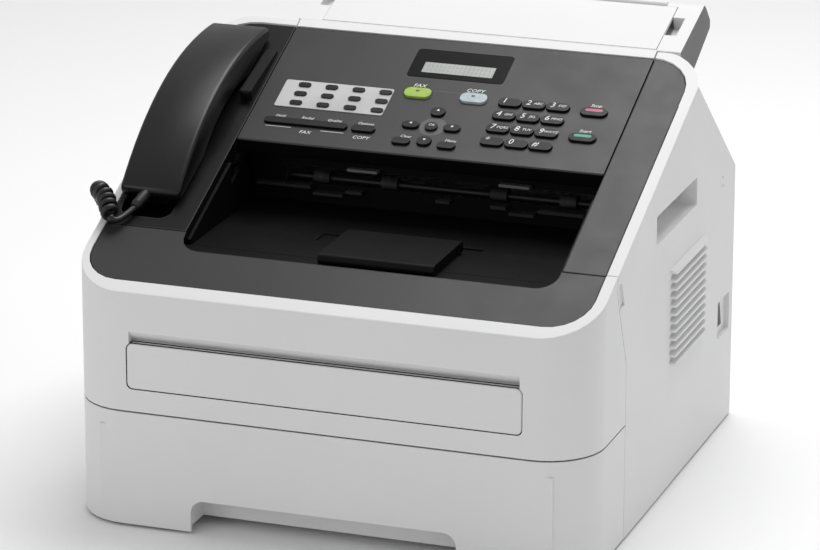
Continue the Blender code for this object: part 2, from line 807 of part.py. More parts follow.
def key_list():
    """Every key that moves on its own: name, centre x and y, width, length, corner."""
    keys = []
    for i, digit in enumerate(DIGITS):
        keys.append(
            ("key_" + digit, COLUMN_X[i % 3], ROW_Y[i // 3], 0.0164, 0.0082, 0.0036)
        )
    keys.append(("key_stop", 0.1200, 0.0350, 0.0193, 0.0090, 0.0043))
    keys.append(("key_start", 0.1199, 0.0090, 0.0193, 0.0090, 0.0043))
    keys.append(("key_fax", -0.0085, 0.0377, 0.0194, 0.0100, 0.0044))
    keys.append(("key_copy", 0.0324, 0.0375, 0.0194, 0.0100, 0.0044))
    keys.append(("key_up", 0.0122, 0.0206, 0.0100, 0.0090, 0.0040))
    keys.append(("key_down", 0.0122, -0.0092, 0.0100, 0.0090, 0.0040))
    keys.append(("key_left", -0.0027, 0.0058, 0.0120, 0.0074, 0.0035))
    keys.append(("key_right", 0.0272, 0.0060, 0.0120, 0.0074, 0.0035))
    keys.append(("key_ok", 0.0124, 0.0056, 0.0090, 0.0084, 0.0040))
    keys.append(("key_clear", -0.0040, -0.0112, 0.0130, 0.0066, 0.0032))
    keys.append(("key_menu", 0.0289, -0.0115, 0.0130, 0.0066, 0.0032))
    keys.append(("key_options", -0.0343, -0.0030, 0.0170, 0.0062, 0.0030))
    keys.append(("key_functions", -0.0767, -0.0028, 0.0610, 0.0058, 0.0028))
    return keys


def build_keys(panel):
    holes = []
    for name, x, y, width, length, radius in key_list():
        at = DECK @ Matrix.Translation((x, y / COS, 0.0))
        cap = outline_mesh(pill(width, length, radius), -0.0062, KEY_TOP, at)
        tone = BLACK
        if name == "key_fax":
            tone = (0.45, 0.66, 0.09)
        if name == "key_copy":
            tone = (0.58, 0.70, 0.72)
        key = piece(name, cap, tone, 0.4)
        pivot(key, at @ Vector((0, 0, 0)))
        wide = pill(width + 0.0007, length + 0.0007, radius + 0.0003)
        holes.append(outline_mesh(wide, -0.0082, 0.0060, at))
    cut(panel, merged(*holes))


def build_control_panel():
    side = rounded(
        [
            (PANEL_S[0], -0.0145),
            (PANEL_S[1], -0.0145),
            (PANEL_S[1], -BEZEL_SINK),
            (PANEL_S[0], -BEZEL_SINK),
        ],
        [0.003, 0, 0, 0.0015],
        3,
    )
    panel = piece(
        "control_panel",
        outline_mesh(side, PANEL_LEFT + 0.0003, PANEL_RIGHT - 0.0003, DECK @ ACROSS),
        CHARCOAL,
        0.38,
    )
    build_keys(panel)
    window = rectangle(-0.0235, 0.0548 / COS, 0.0475, 0.0840 / COS, 0.003, 4)
    cut(panel, outline_mesh(window, -0.0034, 0.0100, DECK))
    glass = rectangle(-0.0232, 0.0551 / COS, 0.0472, 0.0837 / COS, 0.0027, 4)
    lcd = piece("lcd_window", outline_mesh(glass, -0.0031, -0.0006, DECK), BLACK, 0.15)
    pivot(lcd, DECK @ Vector((0.012, 0.0755, -0.0031)))
    label = rectangle(-0.1062, 0.0124 / COS, -0.0262, 0.0396 / COS, 0.0015, 3)
    add(panel, outline_mesh(label, -0.0030, -0.0003, DECK))
    buttons = []
    for row in (0.0351, 0.0259, 0.0166):
        for x in (-0.0912, -0.0712, -0.0511, -0.0312):
            at = DECK @ Matrix.Translation((x, row / COS, 0.0))
            buttons.append(outline_mesh(pill(0.0092, 0.0046, 0.0022), -0.0030, 0.0006, at))
    add(panel, merged(*buttons))
    hinge = DECK @ Vector((0.0125, PANEL_AXIS_S[0], PANEL_AXIS_S[1]))
    pivot(panel, hinge)
    strip = [
        deck_point(PANEL_S[1] + 0.0003, -0.0060),
        (DECK_REAR - 0.0005, deck_z(DECK_REAR - 0.0005, 0.0060)),
        (DECK_REAR - 0.0005, deck_z(DECK_REAR - 0.0005)),
        deck_point(PANEL_S[1] + 0.0003, 0.0),
    ]
    trim = piece(
        "panel_trim",
        outline_mesh(strip, PANEL_LEFT + 0.0003, PANEL_RIGHT - 0.0003, ACROSS),
        WHITE,
        0.45,
    )
    pivot(trim, hinge)


# ---------------------------------------------------------------- document feeder
FEEDER = (
    Matrix.Translation((0.0, 0.1035, FEEDER_Z))
    @ Matrix.Rotation(FEEDER_TILT, 4, "X")
)
FLAP_LEN = (0.0022, 0.0580)


def build_feeder():
    under = math.tan(math.radians(26.7))
    front = DECK_REAR + 0.0006
    side = [
        (front, 0.2655 - under * (0.1372 - front)),
        (0.1795, 0.2655 + under * (0.1795 - 0.1372)),
        (0.1795, 0.2925),
        (0.1650, FEEDER_Z + math.tan(FEEDER_TILT) * (0.1650 - 0.1035)),
        (front, FEEDER_Z + math.tan(FEEDER_TILT) * (front - 0.1035)),
    ]
    shape = rounded(side, [0.0, 0.0012, 0.0030, 0.0040, 0.0006], 3)
    feeder = piece(
        "adf_housing", outline_mesh(shape, FEEDER_X[0], FEEDER_X[1], ACROSS), WHITE, 0.45
    )
    well = box_mesh(
        (FLAP_X[0] - 0.0003, FLAP_LEN[0] - 0.0003, -0.0110),
        (FLAP_X[1] + 0.0003, FLAP_LEN[1] + 0.0004, 0.0100),
    )
    cut(feeder, moved(well, FEEDER))
    fingers = merged(
        box_mesh((FLAP_X[1] - 0.0050, 0.0215, -0.0090), (0.1522, 0.0445, 0.01)),
        box_mesh((-0.1127, 0.0215, -0.0090), (FLAP_X[0] + 0.0050, 0.0445, 0.01)),
    )
    cut(feeder, moved(fingers, FEEDER))
    hump = drum_mesh((PATH_X, 0.0605, 0.0000), 0.0020, 0.2300, 0, 12)
    add(feeder, moved(hump, FEEDER))


def build_flap():
    plate = rectangle(FLAP_X[0], FLAP_LEN[0], FLAP_X[1], FLAP_LEN[1], 0.0008, 2)
    flap = piece("document_flap", outline_mesh(plate, -0.0024, 0.0001, FEEDER), WHITE, 0.45)
    pivot(flap, FEEDER @ Vector((PATH_X, FLAP_LEN[1], 0.0001)))


def build_guides():
    for name, sign in (("document_guide_left", -1), ("document_guide_right", 1)):
        low, high = sorted((PATH_X + sign * 0.1080, PATH_X + sign * 0.1060))
        fin = moved(box_mesh((low, 0.0080, -0.0107), (high, 0.0530, -0.0030)), FEEDER)
        guide = piece(name, fin, CHARCOAL, 0.45)
        low, high = sorted((PATH_X + sign * 0.1070, PATH_X + sign * 0.0900))
        foot = moved(box_mesh((low, 0.0080, -0.0107), (high, 0.0530, -0.0095)), FEEDER)
        add(guide, foot)
        pivot(guide, FEEDER @ Vector((PATH_X + sign * 0.1070, 0.0305, -0.0107)))


# ---------------------------------------------------------------- handset and cord
def handset_side():
    """Side view of the handset: distance along the slope and height over it."""
    middle = (HANDSET_S[0] + HANDSET_S[1]) / 2
    half = (HANDSET_S[1] - HANDSET_S[0]) / 2
    top = []
    for k in range(17):
        u = 1.0 - 2.0 * k / 16
        top.append((middle + half * u, 0.0290 - 0.0200 * u * u))
    under = [
        (HANDSET_S[0], 0.0010),
        (-0.0530, 0.0010),
        (-0.0420, 0.0045),
        (-0.0270, 0.0080),
        (-0.0060, 0.0095),
        (0.0150, 0.0080),
        (0.0300, 0.0045),
        (0.0410, 0.0010),
        (HANDSET_S[1], 0.0010),
    ]
    return top + under


def build_handset():
    arch = outline_mesh(handset_side(), HANDSET_X[0], HANDSET_X[1], DECK @ ACROSS)
    handset = piece("handset", arch, BLACK, 0.35)
    bevel(handset, 0.0030, 3, 40)
    for s0, s1 in CUPS:
        cup = rectangle(CUP_X[0], s0, CUP_X[1], s1, 0.010, 5)
        add(handset, outline_mesh(cup, -0.0085, 0.0040, DECK))
    relief = moved(box_mesh((-0.1640, -0.1045, 0.0012), (-0.1576, -0.0960, 0.0062)), DECK)
    add(handset, relief)
    pivot(handset, DECK @ Vector((-0.1560, -0.0060, 0.0)))


def smooth_route(knots, spacing):
    """Points a set distance apart on a smooth curve through the knots."""
    given = [Vector(k[:3]) for k in knots]
    ends = [given[0] * 2 - given[1]] + given + [given[-1] * 2 - given[-2]]
    fine = []
    for a, b, c, d in zip(ends, ends[1:], ends[2:], ends[3:]):
        for k in range(24):
            t = k / 24
            fine.append(
                0.5
                * (
                    2 * b
                    + (c - a) * t
                    + (2 * a - 5 * b + 4 * c - d) * t * t
                    + (3 * b - a - 3 * c + d) * t * t * t
                )
            )
    fine.append(given[-1])
    steps = [0.0]
    for a, b in zip(fine, fine[1:]):
        steps.append(steps[-1] + (b - a).length)
    count = max(2, round(steps[-1] / spacing))
    out = []
    for k in range(count + 1):
        at = steps[-1] * k / count
        out.append([float(np.interp(at, steps, [p[i] for p in fine])) for i in range(3)])
    return out


def tube_mesh(points, radii, resolution):
    curve = bpy.data.curves.new("tube", "CURVE")
    curve.dimensions = "3D"
    curve.bevel_depth = 1.0
    curve.bevel_resolution = resolution
    curve.use_fill_caps = True
    line = curve.splines.new("POLY")
    line.points.add(len(points) - 1)
    for spot, at, radius in zip(line.points, points, radii):
        spot.co = (*at, 1.0)
        spot.radius = radius
    holder = bpy.data.objects.new("tube", curve)
    CUTTERS.objects.link(holder)
    bpy.context.view_layer.update()
    graph = bpy.context.evaluated_depsgraph_get()
    mesh = bpy.data.meshes.new_from_object(holder.evaluated_get(graph))
    bpy.data.objects.remove(holder, do_unlink=True)
    work = bmesh.new()
    work.from_mesh(mesh)
    bmesh.ops.remove_doubles(work, verts=work.verts, dist=1e-6)
    bmesh.ops.recalc_face_normals(work, faces=work.faces)
    work.to_mesh(mesh)
    work.free()
    return mesh


TAIL_S = ((-0.1608, -0.1048, 0.0037), (-0.1609, -0.1085, 0.0037))
TAIL = [
    (-0.1635, -0.1075, 0.2012),
    (-0.1665, -0.1150, 0.1985),
    (-0.1692, -0.1215, 0.1972),
    (-0.1725, -0.1242, 0.1988),
]
COIL = [
    (-0.1765, -0.1178, 0.2030),
    (-0.1834, -0.1062, 0.2075),
    (-0.1925, -0.0960, 0.2090),
    (-0.1965, -0.0800, 0.1990),
    (-0.1975, -0.0600, 0.1780),
    (-0.1975, -0.0400, 0.1400),
    (-0.1975, -0.0250, 0.0950),
    (-0.1975, -0.0050, 0.0500),
    (-0.1990, 0.0200, 0.0260),
    (-0.2010, 0.0480, 0.0300),
]


FAR_TAIL = [
    (-0.2022, 0.0565, 0.0350),
    (-0.2015, 0.0635, 0.0470),
    (-0.1975, 0.0655, 0.0560),
    (-0.1940, 0.0655, 0.0579),
    (-0.1904, 0.0655, 0.0580),
]


def build_cord():
    start = [DECK @ Vector(p) for p in TAIL_S]
    loops = smooth_route(COIL, 0.0105)
    entry = smooth_route(start + TAIL, 0.0055)
    out = smooth_route(FAR_TAIL, 0.0055)
    points = entry + loops + out
    radii = [WIRE_D / 2] * len(entry) + [COIL_D / 2] * len(loops) + [WIRE_D / 2] * len(out)
    piece("handset_cord", tube_mesh(points, radii, 3), BLACK, 0.5)


def build_plug():
    body = box_mesh((-0.1900, 0.0604, 0.0524), (-0.1745, 0.0706, 0.0636))
    plug = piece("handset_plug", body, BLACK, 0.3)
    bevel(plug, 0.0006, 1, 50)
    pivot(plug, (-0.1820, 0.0655, 0.0580))


# ---------------------------------------------------------------- assembly
build_base()
build_side("side_panel_right", 1)
build_side("side_panel_left", -1)
build_rear_panel()
build_rear_cover()
build_front_cover()
build_front_bezel()
build_manual_slot_cover()
build_cassette()
build_lift_plate()
build_bezels()
build_hook_hole()
build_hook_switch()
build_output_tray()
build_exit_frame()
build_tray_flap()
build_exit_roller()
build_control_panel()
build_feeder()
build_flap()
build_guides()
build_laser_unit()
build_toner()
build_fuser()
build_board()
build_jack_block()
build_cis()
build_feed_roller()
build_power_switch()
build_handset()
build_cord()
build_plug()
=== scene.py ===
"""Looks of a compact laser fax machine with a corded handset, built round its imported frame.

Metres, +X right as seen from the front, +Y to the back, +Z up. The frame gives every
body, node and joint. Each class below models one sub-assembly and dresses it.
"""

import json
import logging
import math
from collections.abc import Callable, Sequence
from dataclasses import dataclass
from enum import Enum

import bmesh
import bpy
import numpy as np
from mathutils import Matrix, Vector, kdtree

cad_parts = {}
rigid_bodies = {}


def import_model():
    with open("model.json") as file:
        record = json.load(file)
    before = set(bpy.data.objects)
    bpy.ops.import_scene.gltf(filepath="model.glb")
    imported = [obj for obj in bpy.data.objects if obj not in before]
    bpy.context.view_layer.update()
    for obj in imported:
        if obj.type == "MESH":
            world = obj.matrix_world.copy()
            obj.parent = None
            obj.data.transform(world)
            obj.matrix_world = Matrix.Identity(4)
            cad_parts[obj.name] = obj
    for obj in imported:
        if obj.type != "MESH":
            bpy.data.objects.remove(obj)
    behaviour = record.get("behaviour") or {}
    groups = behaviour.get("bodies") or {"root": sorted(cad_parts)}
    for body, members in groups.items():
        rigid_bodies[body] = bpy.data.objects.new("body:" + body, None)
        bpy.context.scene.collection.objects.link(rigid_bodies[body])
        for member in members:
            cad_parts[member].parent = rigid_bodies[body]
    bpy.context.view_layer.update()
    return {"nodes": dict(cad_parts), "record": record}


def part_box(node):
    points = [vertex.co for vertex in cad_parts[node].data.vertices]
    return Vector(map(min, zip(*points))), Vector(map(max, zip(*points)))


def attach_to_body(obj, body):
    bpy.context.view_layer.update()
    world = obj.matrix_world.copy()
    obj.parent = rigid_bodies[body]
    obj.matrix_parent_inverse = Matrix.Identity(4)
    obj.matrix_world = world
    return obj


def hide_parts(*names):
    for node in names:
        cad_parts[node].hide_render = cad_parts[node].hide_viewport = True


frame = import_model()

LOG = logging.getLogger("fax_machine")
Colour = tuple[float, float, float]
Point = tuple[float, float, float]
Span = tuple[float, float]
Test = Callable[[Vector, Vector], bool]
Sizes = tuple[tuple[str, float], ...]

TILT = math.radians(23.16)
DECK_Z = 0.2438
DECK = Matrix.Translation((0.0, 0.0, DECK_Z)) @ Matrix.Rotation(TILT, 4, "X")
TO_DECK = DECK.inverted()
HALF_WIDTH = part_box("side_panel_right")[1].x

BODY_OF = {
    node: body
    for body, nodes in frame["record"]["behaviour"]["bodies"].items()
    for node in nodes
}
SLOT_OF = {part["node"]: part["material_slot"] for part in frame["record"]["subparts"]}


# ------------------------------------------------------------------ shader building
class Signal:
    """A number that varies over a surface; arithmetic on it adds Math nodes."""

    def __init__(self, tree: bpy.types.NodeTree, socket: bpy.types.NodeSocket) -> None:
        """Wrap one output socket of a node tree."""
        self.tree = tree
        self.socket = socket

    def _math(self, operation: str, first: object, second: object) -> "Signal":
        """Add a Math node.

        Args:
            operation: The Math node's operation.
            first: A Signal or a number for the first input.
            second: A Signal or a number for the second input.

        Returns:
            The node's result.
        """
        node = self.tree.nodes.new("ShaderNodeMath")
        node.operation = operation
        for slot, given in zip(node.inputs, (first, second)):
            if isinstance(given, Signal):
                self.tree.links.new(given.socket, slot)
            else:
                slot.default_value = given
        return Signal(self.tree, node.outputs[0])

    def __add__(self, other: object) -> "Signal":
        """Sum of two signals."""
        return self._math("ADD", self, other)

    def __radd__(self, other: object) -> "Signal":
        """Sum of a number and this signal."""
        return self._math("ADD", other, self)

    def __sub__(self, other: object) -> "Signal":
        """Difference of two signals."""
        return self._math("SUBTRACT", self, other)

    def __rsub__(self, other: object) -> "Signal":
        """A number less this signal."""
        return self._math("SUBTRACT", other, self)

    def __mul__(self, other: object) -> "Signal":
        """Product of two signals."""
        return self._math("MULTIPLY", self, other)

    def __rmul__(self, other: object) -> "Signal":
        """Product of a number and this signal."""
        return self._math("MULTIPLY", other, self)

    def remap(self, low: float, high: float) -> "Signal":
        """This signal spread from low..high to 0..1 and held there."""
        node = self.tree.nodes.new("ShaderNodeMapRange")
        node.clamp = True
        node.inputs["From Min"].default_value = low
        node.inputs["From Max"].default_value = high
        self.tree.links.new(self.socket, node.inputs["Value"])
        return Signal(self.tree, node.outputs["Result"])


class Shader:
    """One material's node tree with a Principled shader."""

    def __init__(self, name: str) -> None:
        """Start a material of that name with an empty tree, a shader and an output."""
        self.material = bpy.data.materials.new(name)
        self.material.use_nodes = True
        self.tree = self.material.node_tree
        self.tree.nodes.clear()
        self.principled = self.tree.nodes.new("ShaderNodeBsdfPrincipled")
        output = self.tree.nodes.new("ShaderNodeOutputMaterial")
        self.tree.links.new(self.principled.outputs[0], output.inputs["Surface"])
        self.place = self.node("ShaderNodeTexCoord").outputs["Object"]

    def node(
        self,
        kind: str,
        settings: dict[str, object] | None = None,
        values: dict[str | int, object] | None = None,
    ) -> bpy.types.Node:
        """Add any node.

        Args:
            kind: The node's type name.
            settings: Properties of the node, set first.
            values: Numbers, colours, sockets or Signals for its inputs.

        Returns:
            The new node.
        """
        made = self.tree.nodes.new(kind)
        for key, setting in (settings or {}).items():
            setattr(made, key, setting)
        for key, value in (values or {}).items():
            self.feed(made.inputs[key], value)
        return made

    def feed(self, slot: bpy.types.NodeSocket, value: object) -> None:
        """Link a Signal or a socket to an input, or set a number or a colour on it."""
        if isinstance(value, Signal):
            self.tree.links.new(value.socket, slot)
        elif isinstance(value, bpy.types.NodeSocket):
            self.tree.links.new(value, slot)
        elif isinstance(value, tuple) and slot.type == "RGBA":
            slot.default_value = (*value, 1.0)
        else:
            slot.default_value = value

    def noise(
        self,
        scale: float,
        detail: float = 2.0,
        rough: float = 0.5,
        stretch: Point | None = None,
    ) -> Signal:
        """Noise in object space.

        Args:
            scale: Features per metre.
            detail: Octaves.
            rough: Weight of the finer octaves.
            stretch: Scale on each axis before the noise, or None.

        Returns:
            A signal of about 0.3 to 0.7.
        """
        place = self.place
        if stretch:
            place = self.node(
                "ShaderNodeMapping", values={"Vector": place, "Scale": stretch}
            ).outputs[0]
        made = self.node(
            "ShaderNodeTexNoise",
            values={"Vector": place, "Scale": scale, "Detail": detail, "Roughness": rough},
        )
        return Signal(self.tree, made.outputs[0])

    def cells(self, scale: float) -> Signal:
        """Distance to the nearest of many random points, that many per metre."""
        made = self.node(
            "ShaderNodeTexVoronoi", values={"Vector": self.place, "Scale": scale}
        )
        return Signal(self.tree, made.outputs["Distance"])

    def blend(self, factor: Signal, first: object, second: object) -> bpy.types.NodeSocket:
        """Mix two colours by a signal."""
        values = {"Factor": factor, 6: first, 7: second}
        return self.node("ShaderNodeMix", {"data_type": "RGBA"}, values).outputs[2]

    def bump(self, height: Signal, depth: float) -> None:
        """Put relief of a depth in metres on the shader's normal."""
        values = {"Height": height, "Distance": depth, "Strength": 1.0}
        made = self.node("ShaderNodeBump", values=values)
        self.tree.links.new(made.outputs[0], self.principled.inputs["Normal"])

    def surface(self, **inputs: object) -> bpy.types.Material:
        """Set the shader's inputs by name, with spaces written as underscores."""
        for key, value in inputs.items():
            self.feed(self.principled.inputs[key.replace("_", " ")], value)
        return self.material


def shade(colour: Colour, factor: float) -> Colour:
    """A colour made lighter or darker."""
    return tuple(min(1.0, c * factor) for c in colour)


class Grain(Enum):
    """How a mould was finished: size of the texture in features per metre and depth."""

    FINE = (2600.0, 0.000030)
    SPARK = (1500.0, 0.000060)


@dataclass(frozen=True)
class MouldedPlastic:
    """Moulded plastic with mould texture, faint mottling, dust and rubbed patches."""

    name: str
    colour: Colour
    roughness: float = 0.45
    grain: Grain = Grain.FINE
    mottle: float = 0.05
    rub: float = 0.08
    dust: float = 0.05
    dust_colour: Colour = (0.42, 0.41, 0.39)
    gloss: float = 0.35

    def build(self) -> bpy.types.Material:
        """Make the material."""
        mix = Shader(self.name)
        scale, depth = self.grain.value
        cloud = mix.noise(9.0, 4.0, 0.55).remap(0.3, 0.7)
        tint = mix.blend(cloud, shade(self.colour, 1 - self.mottle), shade(self.colour, 1 + self.mottle))
        specks = mix.noise(420.0, 5.0, 0.7).remap(0.60, 0.80) * self.dust
        tint = mix.blend(specks, tint, self.dust_colour)
        rubbed = mix.noise(22.0, 6.0, 0.65).remap(0.42, 0.68)
        fine = mix.noise(scale, 3.0, 0.6)
        scratch = mix.noise(60.0, 3.0, 0.6, (1.0, 14.0, 5.0)).remap(0.62, 0.72)
        rough = self.roughness + (rubbed - 0.5) * self.rub + (fine - 0.5) * 0.10
        mix.bump(fine + mix.cells(scale * 0.7) * 0.5 - scratch * 0.15, depth)
        return mix.surface(
            Base_Color=tint,
            Roughness=rough - scratch * (self.rub * 0.5),
            Specular_IOR_Level=self.gloss,
        )


@dataclass(frozen=True)
class SheetMetal:
    """Plated or painted sheet with fine rolling lines and faint handling stains."""

    name: str
    colour: Colour
    metallic: float = 0.9
    roughness: float = 0.38
    lines: Point = (4.0, 220.0, 220.0)

    def build(self) -> bpy.types.Material:
        """Make the material."""
        mix = Shader(self.name)
        rolled = mix.noise(8.0, 4.0, 0.6, self.lines)
        stain = mix.noise(18.0, 5.0, 0.6).remap(0.40, 0.75)
        tint = mix.blend(stain, self.colour, shade(self.colour, 0.82))
        mix.bump(rolled, 0.000020)
        return mix.surface(
            Base_Color=tint,
            Metallic=self.metallic,
            Roughness=self.roughness + (rolled - 0.5) * 0.25 + stain * 0.10,
        )


@dataclass(frozen=True)
class Rubber:
    """Matt rubber or flexible vinyl with a ground surface and a little paper dust."""

    name: str
    colour: Colour
    roughness: float = 0.65
    dust: float = 0.25

    def build(self) -> bpy.types.Material:
        """Make the material."""
        mix = Shader(self.name)
        ground = mix.noise(1800.0, 4.0, 0.7)
        worn = mix.noise(70.0, 5.0, 0.6).remap(0.50, 0.75)
        tint = mix.blend(worn * self.dust, self.colour, (0.20, 0.19, 0.18))
        mix.bump(ground, 0.000040)
        return mix.surface(
            Base_Color=tint, Roughness=self.roughness + (ground - 0.5) * 0.2 - worn * 0.08
        )


@dataclass(frozen=True)
class PrintedInk:
    """Screen-printed marks: even ink, slightly thin where fingers rub."""

    name: str
    colour: Colour
    roughness: float = 0.5

    def build(self) -> bpy.types.Material:
        """Make the material."""
        mix = Shader(self.name)
        thin = mix.noise(500.0, 4.0, 0.6).remap(0.55, 0.80)
        grain = mix.noise(2600.0, 2.0)
        mix.bump(grain, 0.000008)
        return mix.surface(
            Base_Color=mix.blend(thin, self.colour, shade(self.colour, 0.72)),
            Roughness=self.roughness + (grain - 0.5) * 0.12,
        )


@dataclass(frozen=True)
class PaintedGlowKey:
    """A translucent coloured key cap with a cloudy tint, fine grain and a faint painted glow from
    emission, though no lamp is in it.
    """

    name: str
    colour: Colour
    painted_glow: float = 0.02

    def build(self) -> bpy.types.Material:
        """Make the material."""
        mix = Shader(self.name)
        cloud = mix.noise(160.0, 3.0).remap(0.35, 0.65)
        grain = mix.noise(2200.0, 3.0)
        tint = mix.blend(cloud, shade(self.colour, 0.88), shade(self.colour, 1.08))
        mix.bump(grain, 0.000015)
        return mix.surface(
            Base_Color=tint,
            Roughness=0.35 + (grain - 0.5) * 0.15,
            # Painted glow: the tint is given off as light.
            Emission_Color=tint,
            Emission_Strength=self.painted_glow,
        )


@dataclass(frozen=True)
class CircuitBoard:
    """Green solder mask with copper tracks, pads and plated holes."""

    name: str
    mask: Colour = (0.015, 0.115, 0.045)
    copper: Colour = (0.045, 0.26, 0.10)

    def build(self) -> bpy.types.Material:
        """Make the material."""
        mix = Shader(self.name)
        bricks = mix.node(
            "ShaderNodeTexBrick",
            {"offset": 0.5},
            {"Vector": self._flat(mix), "Scale": 90.0, "Mortar Size": 0.06},
        )
        tracks = Signal(mix.tree, bricks.outputs["Fac"])
        pads = 1 - mix.cells(260.0).remap(0.10, 0.16)
        tint = mix.blend(tracks, self.mask, self.copper)
        tint = mix.blend(pads, tint, (0.55, 0.55, 0.52))
        mix.bump(tracks + pads, 0.000060)
        return mix.surface(Base_Color=tint, Roughness=0.35 - pads * 0.1)

    @staticmethod
    def _flat(mix: Shader) -> bpy.types.NodeSocket:
        """The board's own plane turned into the texture's plane."""
        turned = mix.node(
            "ShaderNodeMapping",
            values={"Vector": mix.place, "Rotation": (math.pi / 2, 0.0, math.pi / 2)},
        )
        return turned.outputs[0]


@dataclass(frozen=True)
class Glass:
    """A dark glossy window with the faintest smears."""

    name: str
    colour: Colour = (0.006, 0.006, 0.0065)
    roughness: float = 0.30

    def build(self) -> bpy.types.Material:
        """Make the material."""
        mix = Shader(self.name)
        smear = mix.noise(45.0, 5.0, 0.6, (1.0, 3.0, 1.0)).remap(0.45, 0.75)
        mix.bump(mix.noise(300.0, 2.0), 0.000002)
        return mix.surface(
            Base_Color=mix.blend(smear, self.colour, shade(self.colour, 1.6)),
            Roughness=self.roughness + smear * 0.10,
            Specular_IOR_Level=0.06,
        )


@dataclass(frozen=True)
class Display:
    """A reflective character display: pale field with faint rows of unlit cells."""

    name: str
    field_colour: Colour = (0.36, 0.37, 0.36)
    cell_colour: Colour = (0.24, 0.25, 0.245)

    def build(self) -> bpy.types.Material:
        """Make the material."""
        mix = Shader(self.name)
        turned = mix.node(
            "ShaderNodeMapping", values={"Vector": mix.place, "Rotation": (-TILT, 0.0, 0.0)}
        )
        bricks = mix.node(
            "ShaderNodeTexBrick",
            {"offset": 0.0},
            {
                "Vector": turned.outputs[0],
                "Scale": 120.0,
                "Mortar Size": 0.05,
                "Brick Width": 0.36,
                "Row Height": 0.50,
            },
        )
        cells = 1 - Signal(mix.tree, bricks.outputs["Fac"])
        cloud = mix.noise(60.0, 2.0).remap(0.3, 0.7)
        tint = mix.blend(cloud, self.field_colour, shade(self.field_colour, 1.15))
        return mix.surface(
            Base_Color=mix.blend(cells * 0.45, tint, self.cell_colour),
            Roughness=0.30 + cloud * 0.05,
        )


WHITE = (0.76, 0.76, 0.765)
CHARCOAL = (0.024, 0.024, 0.0255)
BLACK = (0.007, 0.007, 0.0075)
# SHADED_SATIN: a darker copy of the bezel colour, painted shade beside the handset
SHADED_SATIN = (0.0055, 0.0055, 0.0058)
INKY = (0.0045, 0.0045, 0.0050)
# SHADE_BLACK: near black used as painted shade on gap walls, borders and recesses
SHADE_BLACK = (0.0028, 0.0028, 0.0030)

MADE_FINISHES = (
    MouldedPlastic("white_shell", WHITE, 0.48, Grain.SPARK, 0.015, 0.06, 0.03),
    # end_shade_grey: darker grey painted shade for the feeder housing's end faces
    MouldedPlastic("end_shade_grey", (0.13, 0.13, 0.132), 0.50, Grain.SPARK, 0.04, 0.06),
    MouldedPlastic("charcoal_panel", CHARCOAL, 0.40, Grain.FINE, 0.06, 0.10, 0.02),
    # seam_shade_black: painted shade, near black on the walls of gaps and seams
    MouldedPlastic("seam_shade_black", SHADE_BLACK, 0.55, Grain.FINE, 0.1, 0.1, 0.0),
    MouldedPlastic("black_plastic", BLACK, 0.42, Grain.FINE, 0.10, 0.10, 0.02),
    # recess_shade_black: black plastic darkened further as painted shade for the tray cavity, wells and
    # faces under things
    MouldedPlastic("recess_shade_black", SHADE_BLACK, 0.50, Grain.SPARK, 0.05, 0.08, 0.0, gloss=0.10),
    # cradle_shade_black: darker, less glossy copy of the bezel plastic, painted shade beside the handset
    MouldedPlastic("cradle_shade_black", SHADED_SATIN, 0.42, Grain.FINE, 0.06, 0.08, 0.01, gloss=0.15),
    MouldedPlastic("tab_grey", (0.17, 0.17, 0.17), 0.45, Grain.FINE, 0.05, 0.08),
    MouldedPlastic("handset_black", INKY, 0.33, Grain.FINE, 0.10, 0.06, 0.01, gloss=0.4),
    MouldedPlastic("key_black", INKY, 0.36, Grain.FINE, 0.08, 0.1, gloss=0.22),
    SheetMetal("grey_frame", (0.42, 0.43, 0.44), 0.35, 0.50),
    SheetMetal("steel_sheet", (0.60, 0.61, 0.63)),
    SheetMetal("plated_pin", (0.80, 0.66, 0.36), 1.0, 0.25),
    SheetMetal("silver_label", (0.50, 0.50, 0.50), 0.10, 0.50, (2.0, 60.0, 60.0)),
    CircuitBoard("circuit_board"),
    Rubber("roller_rubber", (0.010, 0.010, 0.010)),
    Rubber("cord_black", BLACK, 0.38, 0.05),
    Glass("lcd_glass"),
    Glass("scanner_glass", (0.03, 0.035, 0.035), 0.05),
    Display("lcd_field"),
    # Key colours below carry a faint painted glow.
    PaintedGlowKey("key_lime", (0.31, 0.47, 0.050)),
    PaintedGlowKey("key_aqua", (0.40, 0.48, 0.51)),
    PaintedGlowKey("stop_bar", (0.42, 0.055, 0.125)),
    PaintedGlowKey("start_bar", (0.015, 0.29, 0.175)),
    PrintedInk("white_ink", (0.80, 0.80, 0.80)),
    PrintedInk("grey_ink", (0.075, 0.075, 0.078)),
    PrintedInk("dark_ink", (0.02, 0.02, 0.02)),
)
FINISHES = {made.name: made for made in MADE_FINISHES}
_built: dict[str, bpy.types.Material] = {}


def finish(name: str) -> bpy.types.Material:
    """The material of a finish, made once."""
    if name not in _built:
        _built[name] = FINISHES[name].build()
    return _built[name]


# ------------------------------------------------------------------ modelling bench
class Element(Enum):
    """What a selection in edit mode picks."""

    VERTS = "VERT"
    EDGES = "EDGE"
    FACES = "FACE"


